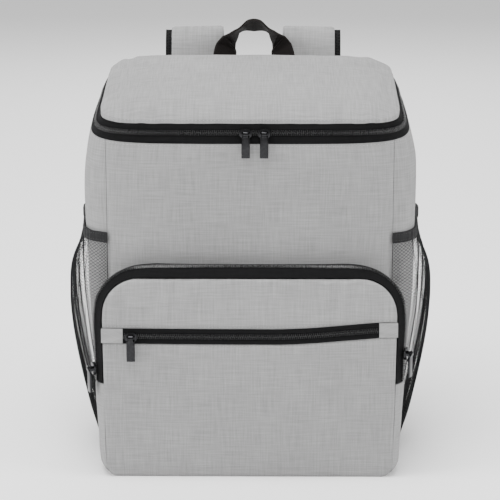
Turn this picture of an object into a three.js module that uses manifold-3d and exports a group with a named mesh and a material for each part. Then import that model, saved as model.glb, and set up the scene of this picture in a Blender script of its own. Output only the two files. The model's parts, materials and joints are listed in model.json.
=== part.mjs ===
// A soft cooler backpack with a zipped lid, a puffed front pocket, two net side pockets, a webbing
// handle and two padded shoulder straps. Units are millimetres. +Z is up, the front faces -Y, and the
// origin is on the floor under the middle of the main compartment.
import * as THREE from "three";
import { mergeVertices } from "three/addons/utils/BufferGeometryUtils.js";
import Module from "manifold-3d";

const manifold = await Module();
manifold.setup();

// Main compartment
const bodyWidth = 310;
const bodyDepth = 166;
const lidFrontHeight = 325;
const lidRise = 30;
const lidBackHeight = lidFrontHeight + lidRise;
const wallThickness = 4;
const backPadThickness = 7;
const baseThickness = 3;
const cornerPower = 5;
const frontSeamAcross = 131.5;
const backSeamAcross = 126;
const seamGap = 0.3;

// Lid
const lidThickness = 4;
const lidEdgeRise = 7;
const lidCrown = 9;
const lidEdgePower = 9;

// Zips: the widths of the tape on each side of the coil, of the coil, and how far each stands
const tapeThickness = 1;
const coilWidth = 4.8;
const coilThickness = 1.8;
const coilProud = 0.9;
const lidTapeAbove = 5.3;
const lidTapeBelow = 6.9;
const pocketTapeFront = 7.5;
const pocketTapeBack = 6.5;
const faceTapeWidth = 3.8;

// Front pocket
const pocketHalfWidth = 135.5;
const pocketHeight = 188;
const pocketTopRadius = 34;
const pocketSeatTopRadius = 42;
const pocketFootRadius = 10;
const pocketFootTaper = 0.02;
const pocketDepth = 36;
const pocketWall = 1.5;
const pocketPillow = 4;
const pocketTopBulge = 9;
const pocketSideBulge = 12.5;
const pocketZipEndHeight = 92;
const pocketSeamInset = 5.5;
const pocketSeatGap = 0.9;
const faceZipHeight = 136.5;
const faceZipHalfLength = 116;
const faceZipShift = 1.3;
const faceZipLift = 5.5;

// Net side pockets
const netFoot = 9;
const netSeamInset = 1;
const netMouthHeight = 213;
const netBulge = 16;
const netMouthGap = 8;
const netThickness = 1.2;
const netSeatGap = 1.1;
const netStrand = 0.3;
const netRows = 7;
const bindingHeight = 9.5;
const bindingThickness = 2;

// Handle
const handleWidth = 25;
const handleThickness = 2;
const handleHalfSpan = 28.5;
const handleAcross = 2.7;
const handleFootDrop = 17;
const handleRise = 52;
const handleFoot = lidBackHeight - handleFootDrop;
const handleTop = handleFoot + handleRise;
const handleLean = 17;

// Shoulder straps
const strapWidth = 51;
const strapCoverThickness = 3;
const strapPadThickness = 8;
const strapRise = 29;
const strapTop = lidBackHeight + strapRise;
const strapReach = 50;
const strapSpots = { left: 53, right: 56.8 };
const strapAcrossFoot = 98;
const strapTurn = 6;
const strapPadShift = 2.8;
const webbingWidth = 25;
const webbingThickness = 1.6;
const adjusterWidth = 33;
const adjusterHeight = 27;
const adjusterThickness = 4;
const adjusterBar = 4;
const webbingFootHeight = 30;
const webbingFootAcross = 104;
const webbingTail = 70;
const anchorWidth = 34;
const anchorHeight = 40;
const anchorThickness = 2;

// Sliders and pulls
const sliderLength = 11;
const sliderWidth = 8.6;
const sliderPlate = 2;
const sliderGap = 0.6;
const pinRadius = 0.9;
const pinClearance = 0.45;
const eyeWall = 1.2;
const eyeWidth = 4.6;
const postWidth = 1.3;
const pullWidth = 7.6;
const pullLength = 22;
const pullThickness = 2.2;
const lidPullSpots = [-3.5, 12.5];
const faceSliderAcross = -107.5;
const pocketSliderHeights = { left: 104, right: 119 };

// Main compartment sections: heights as shares of the wall, reaches as shares of the half sizes, and
// how much of its width is lost from the front to the back, and how square its corners are
const bodySections = [
  { height: 0.0, width: 0.895, front: 0.94, back: 0.95, taper: 0.0, power: 5 },
  { height: 0.05, width: 0.925, front: 0.97, back: 0.98, taper: 0.0, power: 5 },
  { height: 0.15, width: 0.945, front: 0.99, back: 1.0, taper: 0.005, power: 5 },
  { height: 0.32, width: 0.968, front: 1.0, back: 1.0, taper: 0.01, power: 5 },
  { height: 0.46, width: 0.987, front: 1.0, back: 1.0, taper: 0.015, power: 5 },
  { height: 0.68, width: 1.0, front: 1.0, back: 0.99, taper: 0.02, power: 5 },
  { height: 0.83, width: 0.996, front: 0.998, back: 0.985, taper: 0.022, power: 5 },
  { height: 0.9, width: 0.987, front: 0.994, back: 0.982, taper: 0.025, power: 5 },
  { height: 0.945, width: 0.958, front: 0.985, back: 0.98, taper: 0.025, power: 5.2 },
  { height: 1.0, width: 0.885, front: 0.962, back: 0.972, taper: 0.01, power: 8.5 },
];

// Front pocket face: how far it stands off the compartment, as a share of the pocket's depth
const pocketSections = [
  { height: 0.0, standOff: 0.9 },
  { height: 0.15, standOff: 1.0 },
  { height: 0.4, standOff: 1.02 },
  { height: 0.7, standOff: 0.94 },
  { height: 1.0, standOff: 0.64 },
];

// Side net: where the lattice's columns stand between its seams, closer together round the corners
const netColumnMarks = [0, 0.05, 0.14, 0.26, 0.42, 0.6, 0.78, 0.92, 1];

// Side net: its bulge at each share of its height, as a share of the largest
const netSections = [
  { height: 0.0, bulge: 0.02 },
  { height: 0.1, bulge: 0.2 },
  { height: 0.3, bulge: 0.62 },
  { height: 0.5, bulge: 0.92 },
  { height: 0.68, bulge: 1.0 },
  { height: 0.84, bulge: 0.82 },
  { height: 0.94, bulge: 0.38 },
  { height: 1.0, bulge: 0.02 },
];

// Side net: its bulge at each share of the way from its front seam to its back seam
const netAcross = [
  { across: 0.0, bulge: 0.0 },
  { across: 0.05, bulge: 0.4 },
  { across: 0.14, bulge: 0.78 },
  { across: 0.26, bulge: 1.0 },
  { across: 0.42, bulge: 1.0 },
  { across: 0.6, bulge: 0.86 },
  { across: 0.78, bulge: 0.56 },
  { across: 0.92, bulge: 0.2 },
  { across: 1.0, bulge: 0.0 },
];

// Shoulder strap's side view: shares of its reach behind the back, and of its top height
const strapPath = [
  { reach: 0.0, height: 0.845 },
  { reach: 0.02, height: 0.867 },
  { reach: 0.1, height: 0.895 },
  { reach: 0.2, height: 0.94 },
  { reach: 0.34, height: 0.983 },
  { reach: 0.54, height: 1.0 },
  { reach: 0.78, height: 0.973 },
  { reach: 0.94, height: 0.9 },
  { reach: 1.0, height: 0.8 },
  { reach: 1.0, height: 0.66 },
  { reach: 0.9, height: 0.52 },
  { reach: 0.74, height: 0.41 },
  { reach: 0.55, height: 0.32 },
];

// Handle's front view: shares of its half span and of its rise, and how much of its width lies across
// and points down. The rest of its width lies front to back.
const handlePath = [
  { across: -1.0, rise: 0.0, flat: 1.0, drop: 0.0 },
  { across: -1.0, rise: 0.22, flat: 0.995, drop: 0.0 },
  { across: -1.0, rise: 0.44, flat: 0.86, drop: 0.03 },
  { across: -0.9, rise: 0.65, flat: 0.76, drop: 0.05 },
  { across: -0.69, rise: 0.79, flat: 0.4, drop: 0.12 },
  { across: -0.49, rise: 0.91, flat: 0.04, drop: 0.2 },
  { across: -0.2, rise: 0.99, flat: 0.0, drop: 0.5 },
  { across: 0.0, rise: 1.0, flat: 0.0, drop: 0.55 },
];

const halfWidth = bodyWidth / 2;
const halfDepth = bodyDepth / 2;
const lidSlope = (lidBackHeight - lidFrontHeight) / bodyDepth;
const lidBand = lidTapeAbove + coilWidth + lidTapeBelow + 4 * seamGap;
const wallFoot = baseThickness + seamGap;
const pinHeight = sliderPlate + pinRadius + pinClearance + eyeWall + seamGap;

const materials = {
  fabric: new THREE.MeshStandardMaterial({ color: 0xb2b2b2, roughness: 0.9, metalness: 0 }),
  tape: new THREE.MeshStandardMaterial({ color: 0x1b1b1c, roughness: 0.8, metalness: 0 }),
  coil: new THREE.MeshStandardMaterial({ color: 0x242425, roughness: 0.45, metalness: 0 }),
  webbing: new THREE.MeshStandardMaterial({ color: 0x201d1d, roughness: 0.75, metalness: 0 }),
  net: new THREE.MeshStandardMaterial({ color: 0x2a2a2b, roughness: 0.8, metalness: 0 }),
  airMesh: new THREE.MeshStandardMaterial({ color: 0x18181a, roughness: 0.9, metalness: 0 }),
  plastic: new THREE.MeshStandardMaterial({ color: 0x161617, roughness: 0.4, metalness: 0 }),
  metal: new THREE.MeshStandardMaterial({ color: 0x2c2c2e, roughness: 0.3, metalness: 0.8 }),
};

const bag = new THREE.Group();

function addPiece(name, geometry, material) {
  const mesh = new THREE.Mesh(geometry, materials[material]);
  mesh.name = name;
  bag.add(mesh);
  return mesh;
}

function lerp(from, to, share) {
  return from + (to - from) * share;
}

// Numbers from one value to another in equal steps, both ends included
function steps(from, to, count) {
  return Array.from({ length: count + 1 }, (_, i) => lerp(from, to, i / count));
}

// A smooth curve through a table's rows: the value of one column at a key
function readTable(table, key, column, at) {
  let i = table.findIndex((row) => row[key] > at) - 1;
  if (i < 0) i = at <= table[0][key] ? 0 : table.length - 2;
  const [a, b] = [table[i], table[i + 1]];
  const before = table[Math.max(i - 1, 0)];
  const after = table[Math.min(i + 2, table.length - 1)];
  const span = b[key] - a[key];
  const t = Math.min(Math.max((at - a[key]) / span, 0), 1);
  const slopeA = ((b[column] - before[column]) / (b[key] - before[key])) * span;
  const slopeB = ((after[column] - a[column]) / (after[key] - a[key])) * span;
  const t2 = t * t;
  const t3 = t2 * t;
  return (
    (2 * t3 - 3 * t2 + 1) * a[column] +
    (t3 - 2 * t2 + t) * slopeA +
    (3 * t2 - 2 * t3) * b[column] +
    (t3 - t2) * slopeB
  );
}

// Geometry from points and triangles, turned to face out
function closedGeometry(points, triangles) {
  let volume = 0;
  for (const [a, b, c] of triangles) {
    volume += points[a].dot(new THREE.Vector3().crossVectors(points[b], points[c]));
  }
  const facing = volume < 0 ? triangles.map(([a, b, c]) => [a, c, b]) : triangles;
  return new THREE.BufferGeometry()
    .setAttribute("position", new THREE.Float32BufferAttribute(points.flatMap((p) => p.toArray()), 3))
    .setIndex(facing.flat());
}

function surfaceNormal(surface, u, v, uRange, vRange) {
  const du = (uRange[1] - uRange[0]) * 1e-3;
  const dv = (vRange[1] - vRange[0]) * 1e-3;
  const inside = (value, step, [low, high]) => [Math.max(value - step, low), Math.min(value + step, high)];
  const [u0, u1] = inside(u, du, uRange);
  const [v0, v1] = inside(v, dv, vRange);
  const along = surface(u1, v).sub(surface(u0, v));
  const up = surface(u, v1).sub(surface(u, v0));
  return along.cross(up).normalize();
}

// A sheet of cloth: a grid of points on a surface, with a second grid one thickness behind it
function sheetGeometry(surface, uValues, vValues, thickness, proud = 0) {
  const uRange = [uValues[0], uValues.at(-1)];
  const vRange = [vValues[0], vValues.at(-1)];
  const face = [];
  const back = [];
  for (const v of vValues) {
    for (const u of uValues) {
      const point = surface(u, v);
      const normal = surfaceNormal(surface, u, v, uRange, vRange);
      face.push(point.clone().addScaledVector(normal, proud));
      back.push(point.clone().addScaledVector(normal, proud - thickness));
    }
  }
  const columns = uValues.length;
  const rows = vValues.length;
  const at = (i, j) => j * columns + i;
  const behind = face.length;
  const triangles = [];
  const quad = (a, b, c, d) => triangles.push([a, b, c], [a, c, d]);
  for (let j = 0; j < rows - 1; j++) {
    for (let i = 0; i < columns - 1; i++) {
      const corners = [at(i, j), at(i + 1, j), at(i + 1, j + 1), at(i, j + 1)];
      quad(...corners);
      quad(...corners.map((k) => k + behind).reverse());
    }
  }
  const rim = [];
  for (let i = 0; i < columns - 1; i++) rim.push(at(i, 0));
  for (let j = 0; j < rows - 1; j++) rim.push(at(columns - 1, j));
  for (let i = columns - 1; i > 0; i--) rim.push(at(i, rows - 1));
  for (let j = rows - 1; j > 0; j--) rim.push(at(0, j));
  rim.forEach((a, k) => {
    const b = rim[(k + 1) % rim.length];
    quad(b, a, a + behind, b + behind);
  });
  return closedGeometry([...face, ...back], triangles);
}

// A ribbon or pad: one closed ring of corners at each station, joined by quads and capped at the ends
function loftGeometry(rings) {
  const count = rings[0].length;
  const triangles = [];
  for (let j = 0; j < rings.length - 1; j++) {
    for (let i = 0; i < count; i++) {
      const a = j * count + i;
      const b = j * count + ((i + 1) % count);
      triangles.push([a, b, b + count], [a, b + count, a + count]);
    }
  }
  const last = (rings.length - 1) * count;
  for (let i = 1; i < count - 1; i++) {
    triangles.push([0, i + 1, i], [last, last + i, last + i + 1]);
  }
  return closedGeometry(rings.flat(), triangles);
}

function solidOf(geometry) {
  const bare = geometry.clone();
  bare.deleteAttribute("normal");
  bare.deleteAttribute("uv");
  const merged = mergeVertices(bare, 1e-4);
  return new manifold.Manifold(
    new manifold.Mesh({
      numProp: 3,
      vertProperties: new Float32Array(merged.attributes.position.array),
      triVerts: new Uint32Array(merged.index.array),
    }),
  );
}

function geometryOf(solid) {
  const mesh = solid.getMesh();
  return new THREE.BufferGeometry()
    .setAttribute("position", new THREE.BufferAttribute(new Float32Array(mesh.vertProperties), 3))
    .setIndex(Array.from(mesh.triVerts));
}

// The compartment's wall. Angle 0 is the right side, -90 degrees the front, 90 degrees the back.
function rimHeight(y) {
  return lidFrontHeight + lidSlope * (y + halfDepth);
}

function sectionAt(share) {
  const read = (column) => readTable(bodySections, "height", column, share);
  return {
    across: halfWidth * read("width"),
    front: halfDepth * read("front"),
    back: halfDepth * read("back"),
    taper: read("taper"),
    power: read("power"),
  };
}

// The share of a section's width that is left at a depth
function widthLeft(section, y) {
  return 1 - section.taper * (y / bodyDepth + 0.5);
}

// Shares of a section's half width and half depth at an angle. Angles belong to one rounded box, and
// a section with squarer corners is that box's outline pushed outwards along each angle.
function onOutline(angle, { power }) {
  const across = Math.abs(Math.cos(angle)) ** (2 / cornerPower);
  const deep = Math.abs(Math.sin(angle)) ** (2 / cornerPower);
  const push = (across ** power + deep ** power) ** (-1 / power);
  return [Math.sign(Math.cos(angle)) * across * push, Math.sign(Math.sin(angle)) * deep * push];
}

// The turn from an axis at which the outline has a share of its reach along that axis
function turnAt(share, { power }) {
  const other = (Math.min(share, 1) ** -power - 1) ** (1 / power);
  return Math.acos((1 + other ** cornerPower) ** -0.5);
}

function wallPoint(angle, share) {
  const section = sectionAt(share);
  const depth = Math.sin(angle) < 0 ? section.front : section.back;
  const [across, deep] = onOutline(angle, section);
  const y = depth * deep;
  const x = section.across * widthLeft(section, y) * across;
  return new THREE.Vector3(x, y, lerp(wallFoot, rimHeight(y), share));
}

// The angle at which the wall's front (facing -1) or back (facing 1) is a given distance to the right
function angleAcross(across, share, facing) {
  const section = sectionAt(share);
  const reach = facing < 0 ? section.front : section.back;
  let turn = Math.PI / 2;
  for (let pass = 0; pass < 6; pass++) {
    const half = section.across * widthLeft(section, facing * reach * onOutline(turn, section)[1]);
    turn = turnAt(Math.abs(across) / half, section);
  }
  return facing * (across < 0 ? Math.PI - turn : turn);
}

// The share of the wall's height at which it is a given drop below the lid's edge
function shareBelowRim(angle, drop) {
  const rim = wallPoint(angle, 1).z;
  return 1 - drop / (rim - wallFoot);
}

// The depth of the compartment's front (facing -1) or back (facing 1) at a place and height
function depthOfBody(x, z, facing) {
  let y = facing * halfDepth;
  for (let pass = 0; pass < 8; pass++) {
    const share = (z - wallFoot) / (rimHeight(y) - wallFoot);
    const section = sectionAt(Math.min(Math.max(share, 0), 1));
    const ratio = Math.min(Math.abs(x) / (section.across * widthLeft(section, y)), 1);
    const reach = facing < 0 ? section.front : section.back;
    y = facing * reach * (1 - ratio ** section.power) ** (1 / section.power);
  }
  return y;
}

// Angles of the seams, each with half the seam's gap on its own side
function seamAngles(share, gap) {
  return {
    frontRight: angleAcross(frontSeamAcross + gap, share, -1),
    frontLeft: angleAcross(-frontSeamAcross - gap, share, -1),
    backRight: angleAcross(backSeamAcross + gap, share, 1),
    backLeft: angleAcross(-backSeamAcross - gap, share, 1),
  };
}

const panelRows = [0, 0.05, 0.13, 0.25, 0.42, 0.6, 0.8, 0.92, 1];

function buildFrontPanel() {
  const surface = (u, v) => {
    const top = shareBelowRim(-Math.PI / 2, lidBand);
    const share = v * top;
    const seams = seamAngles(share, -seamGap / 2);
    const across = lerp(-frontSeamAcross + seamGap / 2, frontSeamAcross - seamGap / 2, u);
    const angle = angleAcross(across, share, -1);
    const held = Math.min(Math.max(angle, seams.frontLeft), seams.frontRight);
    return wallPoint(held, Math.min(share, shareBelowRim(held, lidBand)));
  };
  const columns = [0, 0.035, 0.11, 0.26, 0.5, 0.74, 0.89, 0.965, 1];
  addPiece("front_panel", sheetGeometry(surface, columns, panelRows, wallThickness), "fabric");
}

// Each side panel wraps from the front seam round the corners to the back seam
function buildSidePanel(name, side) {
  const surface = (u, v) => {
    let share = v;
    let angle = 0;
    for (let pass = 0; pass < 4; pass++) {
      const seams = seamAngles(share, seamGap);
      angle = lerp(seams.frontRight, seams.backRight, u);
      share = v * shareBelowRim(angle, lidBand);
    }
    const point = wallPoint(angle, share);
    point.x *= side;
    return point;
  };
  const turns = [0, 0.1, 0.2, 0.32, 0.45, 0.55, 0.68, 0.8, 0.9, 1];
  const across = side > 0 ? turns : turns.map((u) => 1 - u).reverse();
  const facing = side > 0 ? surface : (u, v) => surface(1 - u, v);
  addPiece(name, sheetGeometry(facing, across, panelRows, wallThickness), "fabric");
}

function buildBackPanel() {
  const surface = (u, v) => {
    const across = lerp(backSeamAcross - seamGap / 2, -backSeamAcross + seamGap / 2, u);
    return wallPoint(angleAcross(across, v, 1), v);
  };
  const columns = [0, 0.03, 0.09, 0.24, 0.5, 0.76, 0.91, 0.97, 1];
  addPiece("back_panel", sheetGeometry(surface, columns, panelRows, backPadThickness), "fabric");
}

function buildBase() {
  const outline = new THREE.Shape(
    steps(0, 2 * Math.PI, 48)
      .slice(0, -1)
      .map((angle) => {
        const point = wallPoint(angle, 0);
        return new THREE.Vector2(point.x, point.y);
      }),
  );
  const plate = new THREE.ExtrudeGeometry(outline, { depth: baseThickness, bevelEnabled: false });
  addPiece("base_panel", plate, "fabric");
}

// The lid: rings that shrink to the middle, with a tight roll at the edge and a low crown
function buildLid() {
  const rings = [1, 0.985, 0.955, 0.9, 0.75, 0.45];
  const around = steps(0, 2 * Math.PI, 40).slice(0, -1);
  const points = [];
  const layer = (drop) => {
    for (const ring of rings) {
      for (const angle of around) {
        const rim = wallPoint(angle, 1);
        const x = rim.x * ring;
        const y = rim.y * ring;
        const rise = lidEdgeRise * (1 - ring ** lidEdgePower) + lidCrown * (1 - ring ** 2);
        points.push(new THREE.Vector3(x, y, rimHeight(y) + seamGap + lidThickness + rise - drop));
      }
    }
    points.push(
      new THREE.Vector3(0, 0, rimHeight(0) + seamGap + lidThickness + lidEdgeRise + lidCrown - drop),
    );
  };
  layer(0);
  const behind = points.length;
  layer(lidThickness);
  const n = around.length;
  const triangles = [];
  for (const start of [0, behind]) {
    const turned = start === 0 ? (a, b, c) => [a, b, c] : (a, b, c) => [a, c, b];
    for (let j = 0; j < rings.length - 1; j++) {
      for (let i = 0; i < n; i++) {
        const a = start + j * n + i;
        const b = start + j * n + ((i + 1) % n);
        triangles.push(turned(a, b, b + n), turned(a, b + n, a + n));
      }
    }
    const last = start + (rings.length - 1) * n;
    for (let i = 0; i < n; i++) triangles.push(turned(last + i, last + ((i + 1) % n), start + behind - 1));
  }
  for (let i = 0; i < n; i++) {
    const next = (i + 1) % n;
    triangles.push([next, i, i + behind], [next, i + behind, next + behind]);
  }
  addPiece("lid_panel", closedGeometry(points, triangles), "fabric");
}

// The lid's zip runs in the wall's own surface from one back seam round the front to the other
function lidBandPoint(u, drop) {
  let share = 1;
  let angle = 0;
  for (let pass = 0; pass < 4; pass++) {
    const seams = seamAngles(share, 2 * seamGap);
    angle = lerp(seams.backLeft - 2 * Math.PI, seams.backRight, u);
    share = shareBelowRim(angle, drop);
  }
  return wallPoint(angle, share);
}

function buildLidZip() {
  const turns = steps(0, 1, 44);
  const strips = [
    { name: "lid_zip_tape_upper", top: seamGap, width: lidTapeAbove, material: "tape" },
    { name: "lid_zip_coil", top: 2 * seamGap + lidTapeAbove, width: coilWidth, material: "coil" },
    {
      name: "lid_zip_tape_lower",
      top: 3 * seamGap + lidTapeAbove + coilWidth,
      width: lidTapeBelow,
      material: "tape",
    },
  ];
  for (const { name, top, width, material } of strips) {
    const surface = (u, v) => lidBandPoint(u, lerp(top + width, top, v));
    const isCoil = material === "coil";
    const geometry = sheetGeometry(
      surface,
      turns,
      [0, 1],
      isCoil ? coilThickness : tapeThickness,
      isCoil ? coilProud : 0,
    );
    addPiece(name, geometry, material);
  }
}

// Front pocket: the face's depth, and its half width at a height with rounded top and foot corners
function pocketFace(x, z) {
  const share = z / pocketHeight;
  const standOff = pocketDepth * readTable(pocketSections, "height", "standOff", share);
  const pillow = pocketPillow * (1 - (x / pocketHalfWidth) ** 2) * Math.sin(Math.PI * Math.min(share, 1));
  return -halfDepth - standOff - Math.max(pillow, 0);
}

// The pocket narrows a little towards its foot
function pocketTaper(z) {
  return 1 - pocketFootTaper * (1 - Math.min(z / pocketHeight, 1));
}

function pocketHalfWidthAt(z) {
  const above = Math.max(z - (pocketHeight - pocketTopRadius), 0);
  const below = Math.max(pocketFootRadius - z, 0);
  const [radius, off] = above > 0 ? [pocketTopRadius, above] : [pocketFootRadius, below];
  const half = pocketHalfWidth - radius + Math.sqrt(Math.max(radius ** 2 - off ** 2, 0));
  return half * pocketTaper(z);
}

// The face's zip runs level and then lifts towards its right end
function faceZipLine(x) {
  const share = Math.min(Math.max(((x - faceZipShift) / faceZipHalfLength - 0.2) / 0.8, 0), 1);
  return faceZipHeight + faceZipLift * share * share * (2 - share);
}

function facePoint(x, z) {
  return new THREE.Vector3(x, pocketFace(x, z), z);
}

const faceZipHalfBand = faceTapeWidth + coilWidth / 2 + seamGap;

// Places across the face, shared by the cloth and the zip so that their edges meet
const faceZipEnds = [-1, 1].map((side) => faceZipShift + side * (faceZipHalfLength + seamGap / 2));
const faceZipMarks = steps(...faceZipEnds, 8);

function buildPocketFace() {
  const zipWidth = pocketHalfWidthAt(faceZipHeight);
  const column = [-1, ...faceZipMarks.map((x) => x / zipWidth), 1];
  const upper = (u, v) => {
    const low = faceZipLine(u * zipWidth) + faceZipHalfBand + seamGap;
    const z = lerp(low, pocketHeight, v);
    return facePoint(u * pocketHalfWidthAt(z), z);
  };
  const lower = (u, v) => {
    const high = faceZipLine(u * zipWidth) - faceZipHalfBand - seamGap;
    const z = lerp(0, high, v);
    return facePoint(u * pocketHalfWidthAt(z), z);
  };
  const upperRows = [0, 0.2, 0.45, 0.68, 0.86, 0.97, 1];
  const lowerRows = [0, 0.02, 0.07, 0.14, 0.45, 0.72, 1];
  addPiece("pocket_face_upper", sheetGeometry(upper, column, upperRows, pocketWall), "fabric");
  addPiece("pocket_face_lower", sheetGeometry(lower, column, lowerRows, pocketWall), "fabric");
  // A strip of cloth carries the zip's seam line on from each end of the zip to the face's edge
  const tabs = [
    { name: "pocket_zip_tab_left", from: -zipWidth, to: faceZipEnds[0] - seamGap },
    { name: "pocket_zip_tab_right", from: faceZipEnds[1] + seamGap, to: zipWidth },
  ];
  for (const { name, from, to } of tabs) {
    const tab = (u, v) => {
      const x = lerp(from, to, u);
      return facePoint(x, faceZipLine(x) + lerp(-faceZipHalfBand, faceZipHalfBand, v));
    };
    addPiece(name, sheetGeometry(tab, [0, 1], [0, 1], pocketWall), "fabric");
  }
}

function buildFaceZip() {
  const coilTop = coilWidth / 2;
  const strips = [
    { name: "face_zip_tape_lower", from: -faceZipHalfBand, to: -coilTop - seamGap, material: "tape" },
    { name: "face_zip_coil", from: -coilTop, to: coilTop, material: "coil" },
    { name: "face_zip_tape_upper", from: coilTop + seamGap, to: faceZipHalfBand, material: "tape" },
  ];
  for (const { name, from, to, material } of strips) {
    const surface = (x, v) => facePoint(x, faceZipLine(x) + lerp(from, to, v));
    const isCoil = material === "coil";
    const geometry = sheetGeometry(
      surface,
      faceZipMarks,
      [0, 1],
      isCoil ? coilThickness : tapeThickness,
      isCoil ? coilProud : 0,
    );
    addPiece(name, geometry, material);
  }
}

// A rounded outline seen from the front. It starts at the middle of the foot and runs clockwise, one
// unit of travel for each half side, corner or side, to the whole travel back at the foot.
const wholeTravel = 9;

function outlineAt(travel, shape) {
  const mirrored = travel > wholeTravel / 2;
  const t = mirrored ? wholeTravel - travel : travel;
  const { across, height, topRadius, footRadius, taper } = shape;
  const leg = Math.min(Math.floor(t), 4);
  const share = t - leg;
  const turn = (share * Math.PI) / 2;
  let x;
  let z;
  let nx;
  let nz;
  if (leg === 0) {
    [x, z, nx, nz] = [-share * (across - footRadius), 0, 0, -1];
  } else if (leg === 1) {
    [nx, nz] = [-Math.sin(turn), -Math.cos(turn)];
    [x, z] = [footRadius * nx - (across - footRadius), footRadius * (1 + nz)];
  } else if (leg === 2) {
    [x, z, nx, nz] = [-across, lerp(footRadius, height - topRadius, share), -1, 0];
  } else if (leg === 3) {
    [nx, nz] = [-Math.cos(turn), Math.sin(turn)];
    [x, z] = [topRadius * nx - (across - topRadius), height - topRadius + topRadius * nz];
  } else {
    [x, z, nx, nz] = [-(across - topRadius) * (1 - 2 * share), height, 0, 1];
  }
  x *= taper(z);
  return mirrored ? { x: -x, z, nx: -nx, nz } : { x, z, nx, nz };
}

const pocketFrontOutline = {
  across: pocketHalfWidth,
  height: pocketHeight,
  topRadius: pocketTopRadius,
  footRadius: pocketFootRadius,
  taper: pocketTaper,
};
const pocketBackOutline = {
  across: frontSeamAcross - pocketSeamInset,
  height: pocketHeight + pocketTopBulge / 4,
  topRadius: pocketSeatTopRadius,
  footRadius: pocketFootRadius,
  taper: () => 1,
};

// The band between the pocket's face and the compartment. It swells outwards except along the floor.
function bandEnds(travel) {
  const front = outlineAt(travel, pocketFrontOutline);
  const back = outlineAt(travel, pocketBackOutline);
  const foot = Math.min(travel, wholeTravel - travel);
  return {
    front: new THREE.Vector3(front.x, pocketFace(front.x, front.z) + pocketWall + 2 * seamGap, front.z),
    back: new THREE.Vector3(back.x, depthOfBody(back.x, back.z, -1) - pocketSeatGap, back.z),
    swell: lerp(pocketTopBulge, pocketSideBulge, front.nx ** 2) * Math.min(Math.max((foot - 1) / 1.7, 0), 1) ** 0.6,
    out: new THREE.Vector3(front.nx, 0, Math.max(front.nz, 0)),
  };
}

function bandShareToPoint({ front, back, swell, out }, share) {
  return front.clone().lerp(back, share).addScaledVector(out, swell * 4 * share * (1 - share));
}

function bandLength(ends) {
  const marks = steps(0, 1, 8).map((share) => bandShareToPoint(ends, share));
  return marks.slice(1).reduce((sum, point, i) => sum + point.distanceTo(marks[i]), 0);
}

// A point on the band a given distance behind the face
function bandPoint(travel, distance) {
  const ends = bandEnds(travel);
  return bandShareToPoint(ends, Math.min(distance / bandLength(ends), 1));
}

const zipEndShare =
  (pocketZipEndHeight - pocketFootRadius) / (pocketHeight - pocketTopRadius - pocketFootRadius);
const zipStart = 2 + zipEndShare;
const zipEnd = wholeTravel - zipStart;
const pocketZipWidth = pocketTapeFront + coilWidth + pocketTapeBack + 2 * seamGap;

function travelMarks(from, to) {
  const foot = [0.3, 0.55, 0.75, 0.9];
  const top = [4.12, 4.3, 4.5];
  const half = [...foot, ...steps(1, 2, 3), 2.15, 2.35, 2.55, 2.8, ...steps(3, 4, 5), ...top];
  const marks = [from];
  const ticks = [...half, ...half.map((tick) => wholeTravel - tick).reverse()];
  for (const tick of [...new Set(ticks)]) {
    if (tick > from + 0.05 && tick < to - 0.05) marks.push(tick);
  }
  return [...marks, to];
}

function buildPocketBand() {
  const span = travelMarks(zipStart, zipEnd);
  const strips = [
    { name: "pocket_zip_tape_front", from: 0, width: pocketTapeFront, material: "tape" },
    { name: "pocket_zip_coil", from: pocketTapeFront + seamGap, width: coilWidth, material: "coil" },
    {
      name: "pocket_zip_tape_back",
      from: pocketTapeFront + coilWidth + 2 * seamGap,
      width: pocketTapeBack,
      material: "tape",
    },
  ];
  for (const { name, from, width, material } of strips) {
    const surface = (u, v) => bandPoint(u, lerp(from, from + width, v));
    const isCoil = material === "coil";
    const geometry = sheetGeometry(
      surface,
      span,
      [0, 1],
      isCoil ? coilThickness : tapeThickness,
      isCoil ? coilProud : 0,
    );
    addPiece(name, geometry, material);
  }
  const strip = (u, v) => {
    const length = bandLength(bandEnds(u));
    return bandPoint(u, lerp(pocketZipWidth + seamGap, length, v));
  };
  addPiece("pocket_gusset_upper", sheetGeometry(strip, span, [0, 0.5, 1], pocketWall), "fabric");
  // Below the zip's two ends the band is cloth over its full depth, and closes under the pocket
  const foot = [
    ...travelMarks(zipEnd + 0.01, wholeTravel - 0.001).slice(0, -1),
    wholeTravel,
    ...travelMarks(0.001, zipStart - 0.01).slice(1).map((mark) => mark + wholeTravel),
  ];
  const gusset = (u, v) => {
    const travel = u > wholeTravel ? u - wholeTravel : u;
    return bandPoint(travel, bandLength(bandEnds(travel)) * v);
  };
  addPiece("pocket_gusset_lower", sheetGeometry(gusset, foot, [0, 0.33, 0.67, 1], pocketWall), "fabric");
}

// Side net: a point between the seams and up the pocket, off the wall by the net's bulge
function sideWallPoint(u, z, side) {
  let share = z / lidFrontHeight;
  let point;
  for (let pass = 0; pass < 3; pass++) {
    const seams = seamAngles(share, netSeamInset);
    const section = sectionAt(share);
    const front = wallPoint(seams.frontRight, share).y;
    const back = wallPoint(seams.backRight, share).y;
    const y = lerp(front, back, u);
    const reach = y < 0 ? section.front : section.back;
    const turn = Math.PI / 2 - turnAt(Math.abs(y) / reach, section);
    point = wallPoint(Math.sign(y) * turn, share);
    share += (z - point.z) / lidFrontHeight;
  }
  point.x *= side;
  return point;
}

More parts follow.
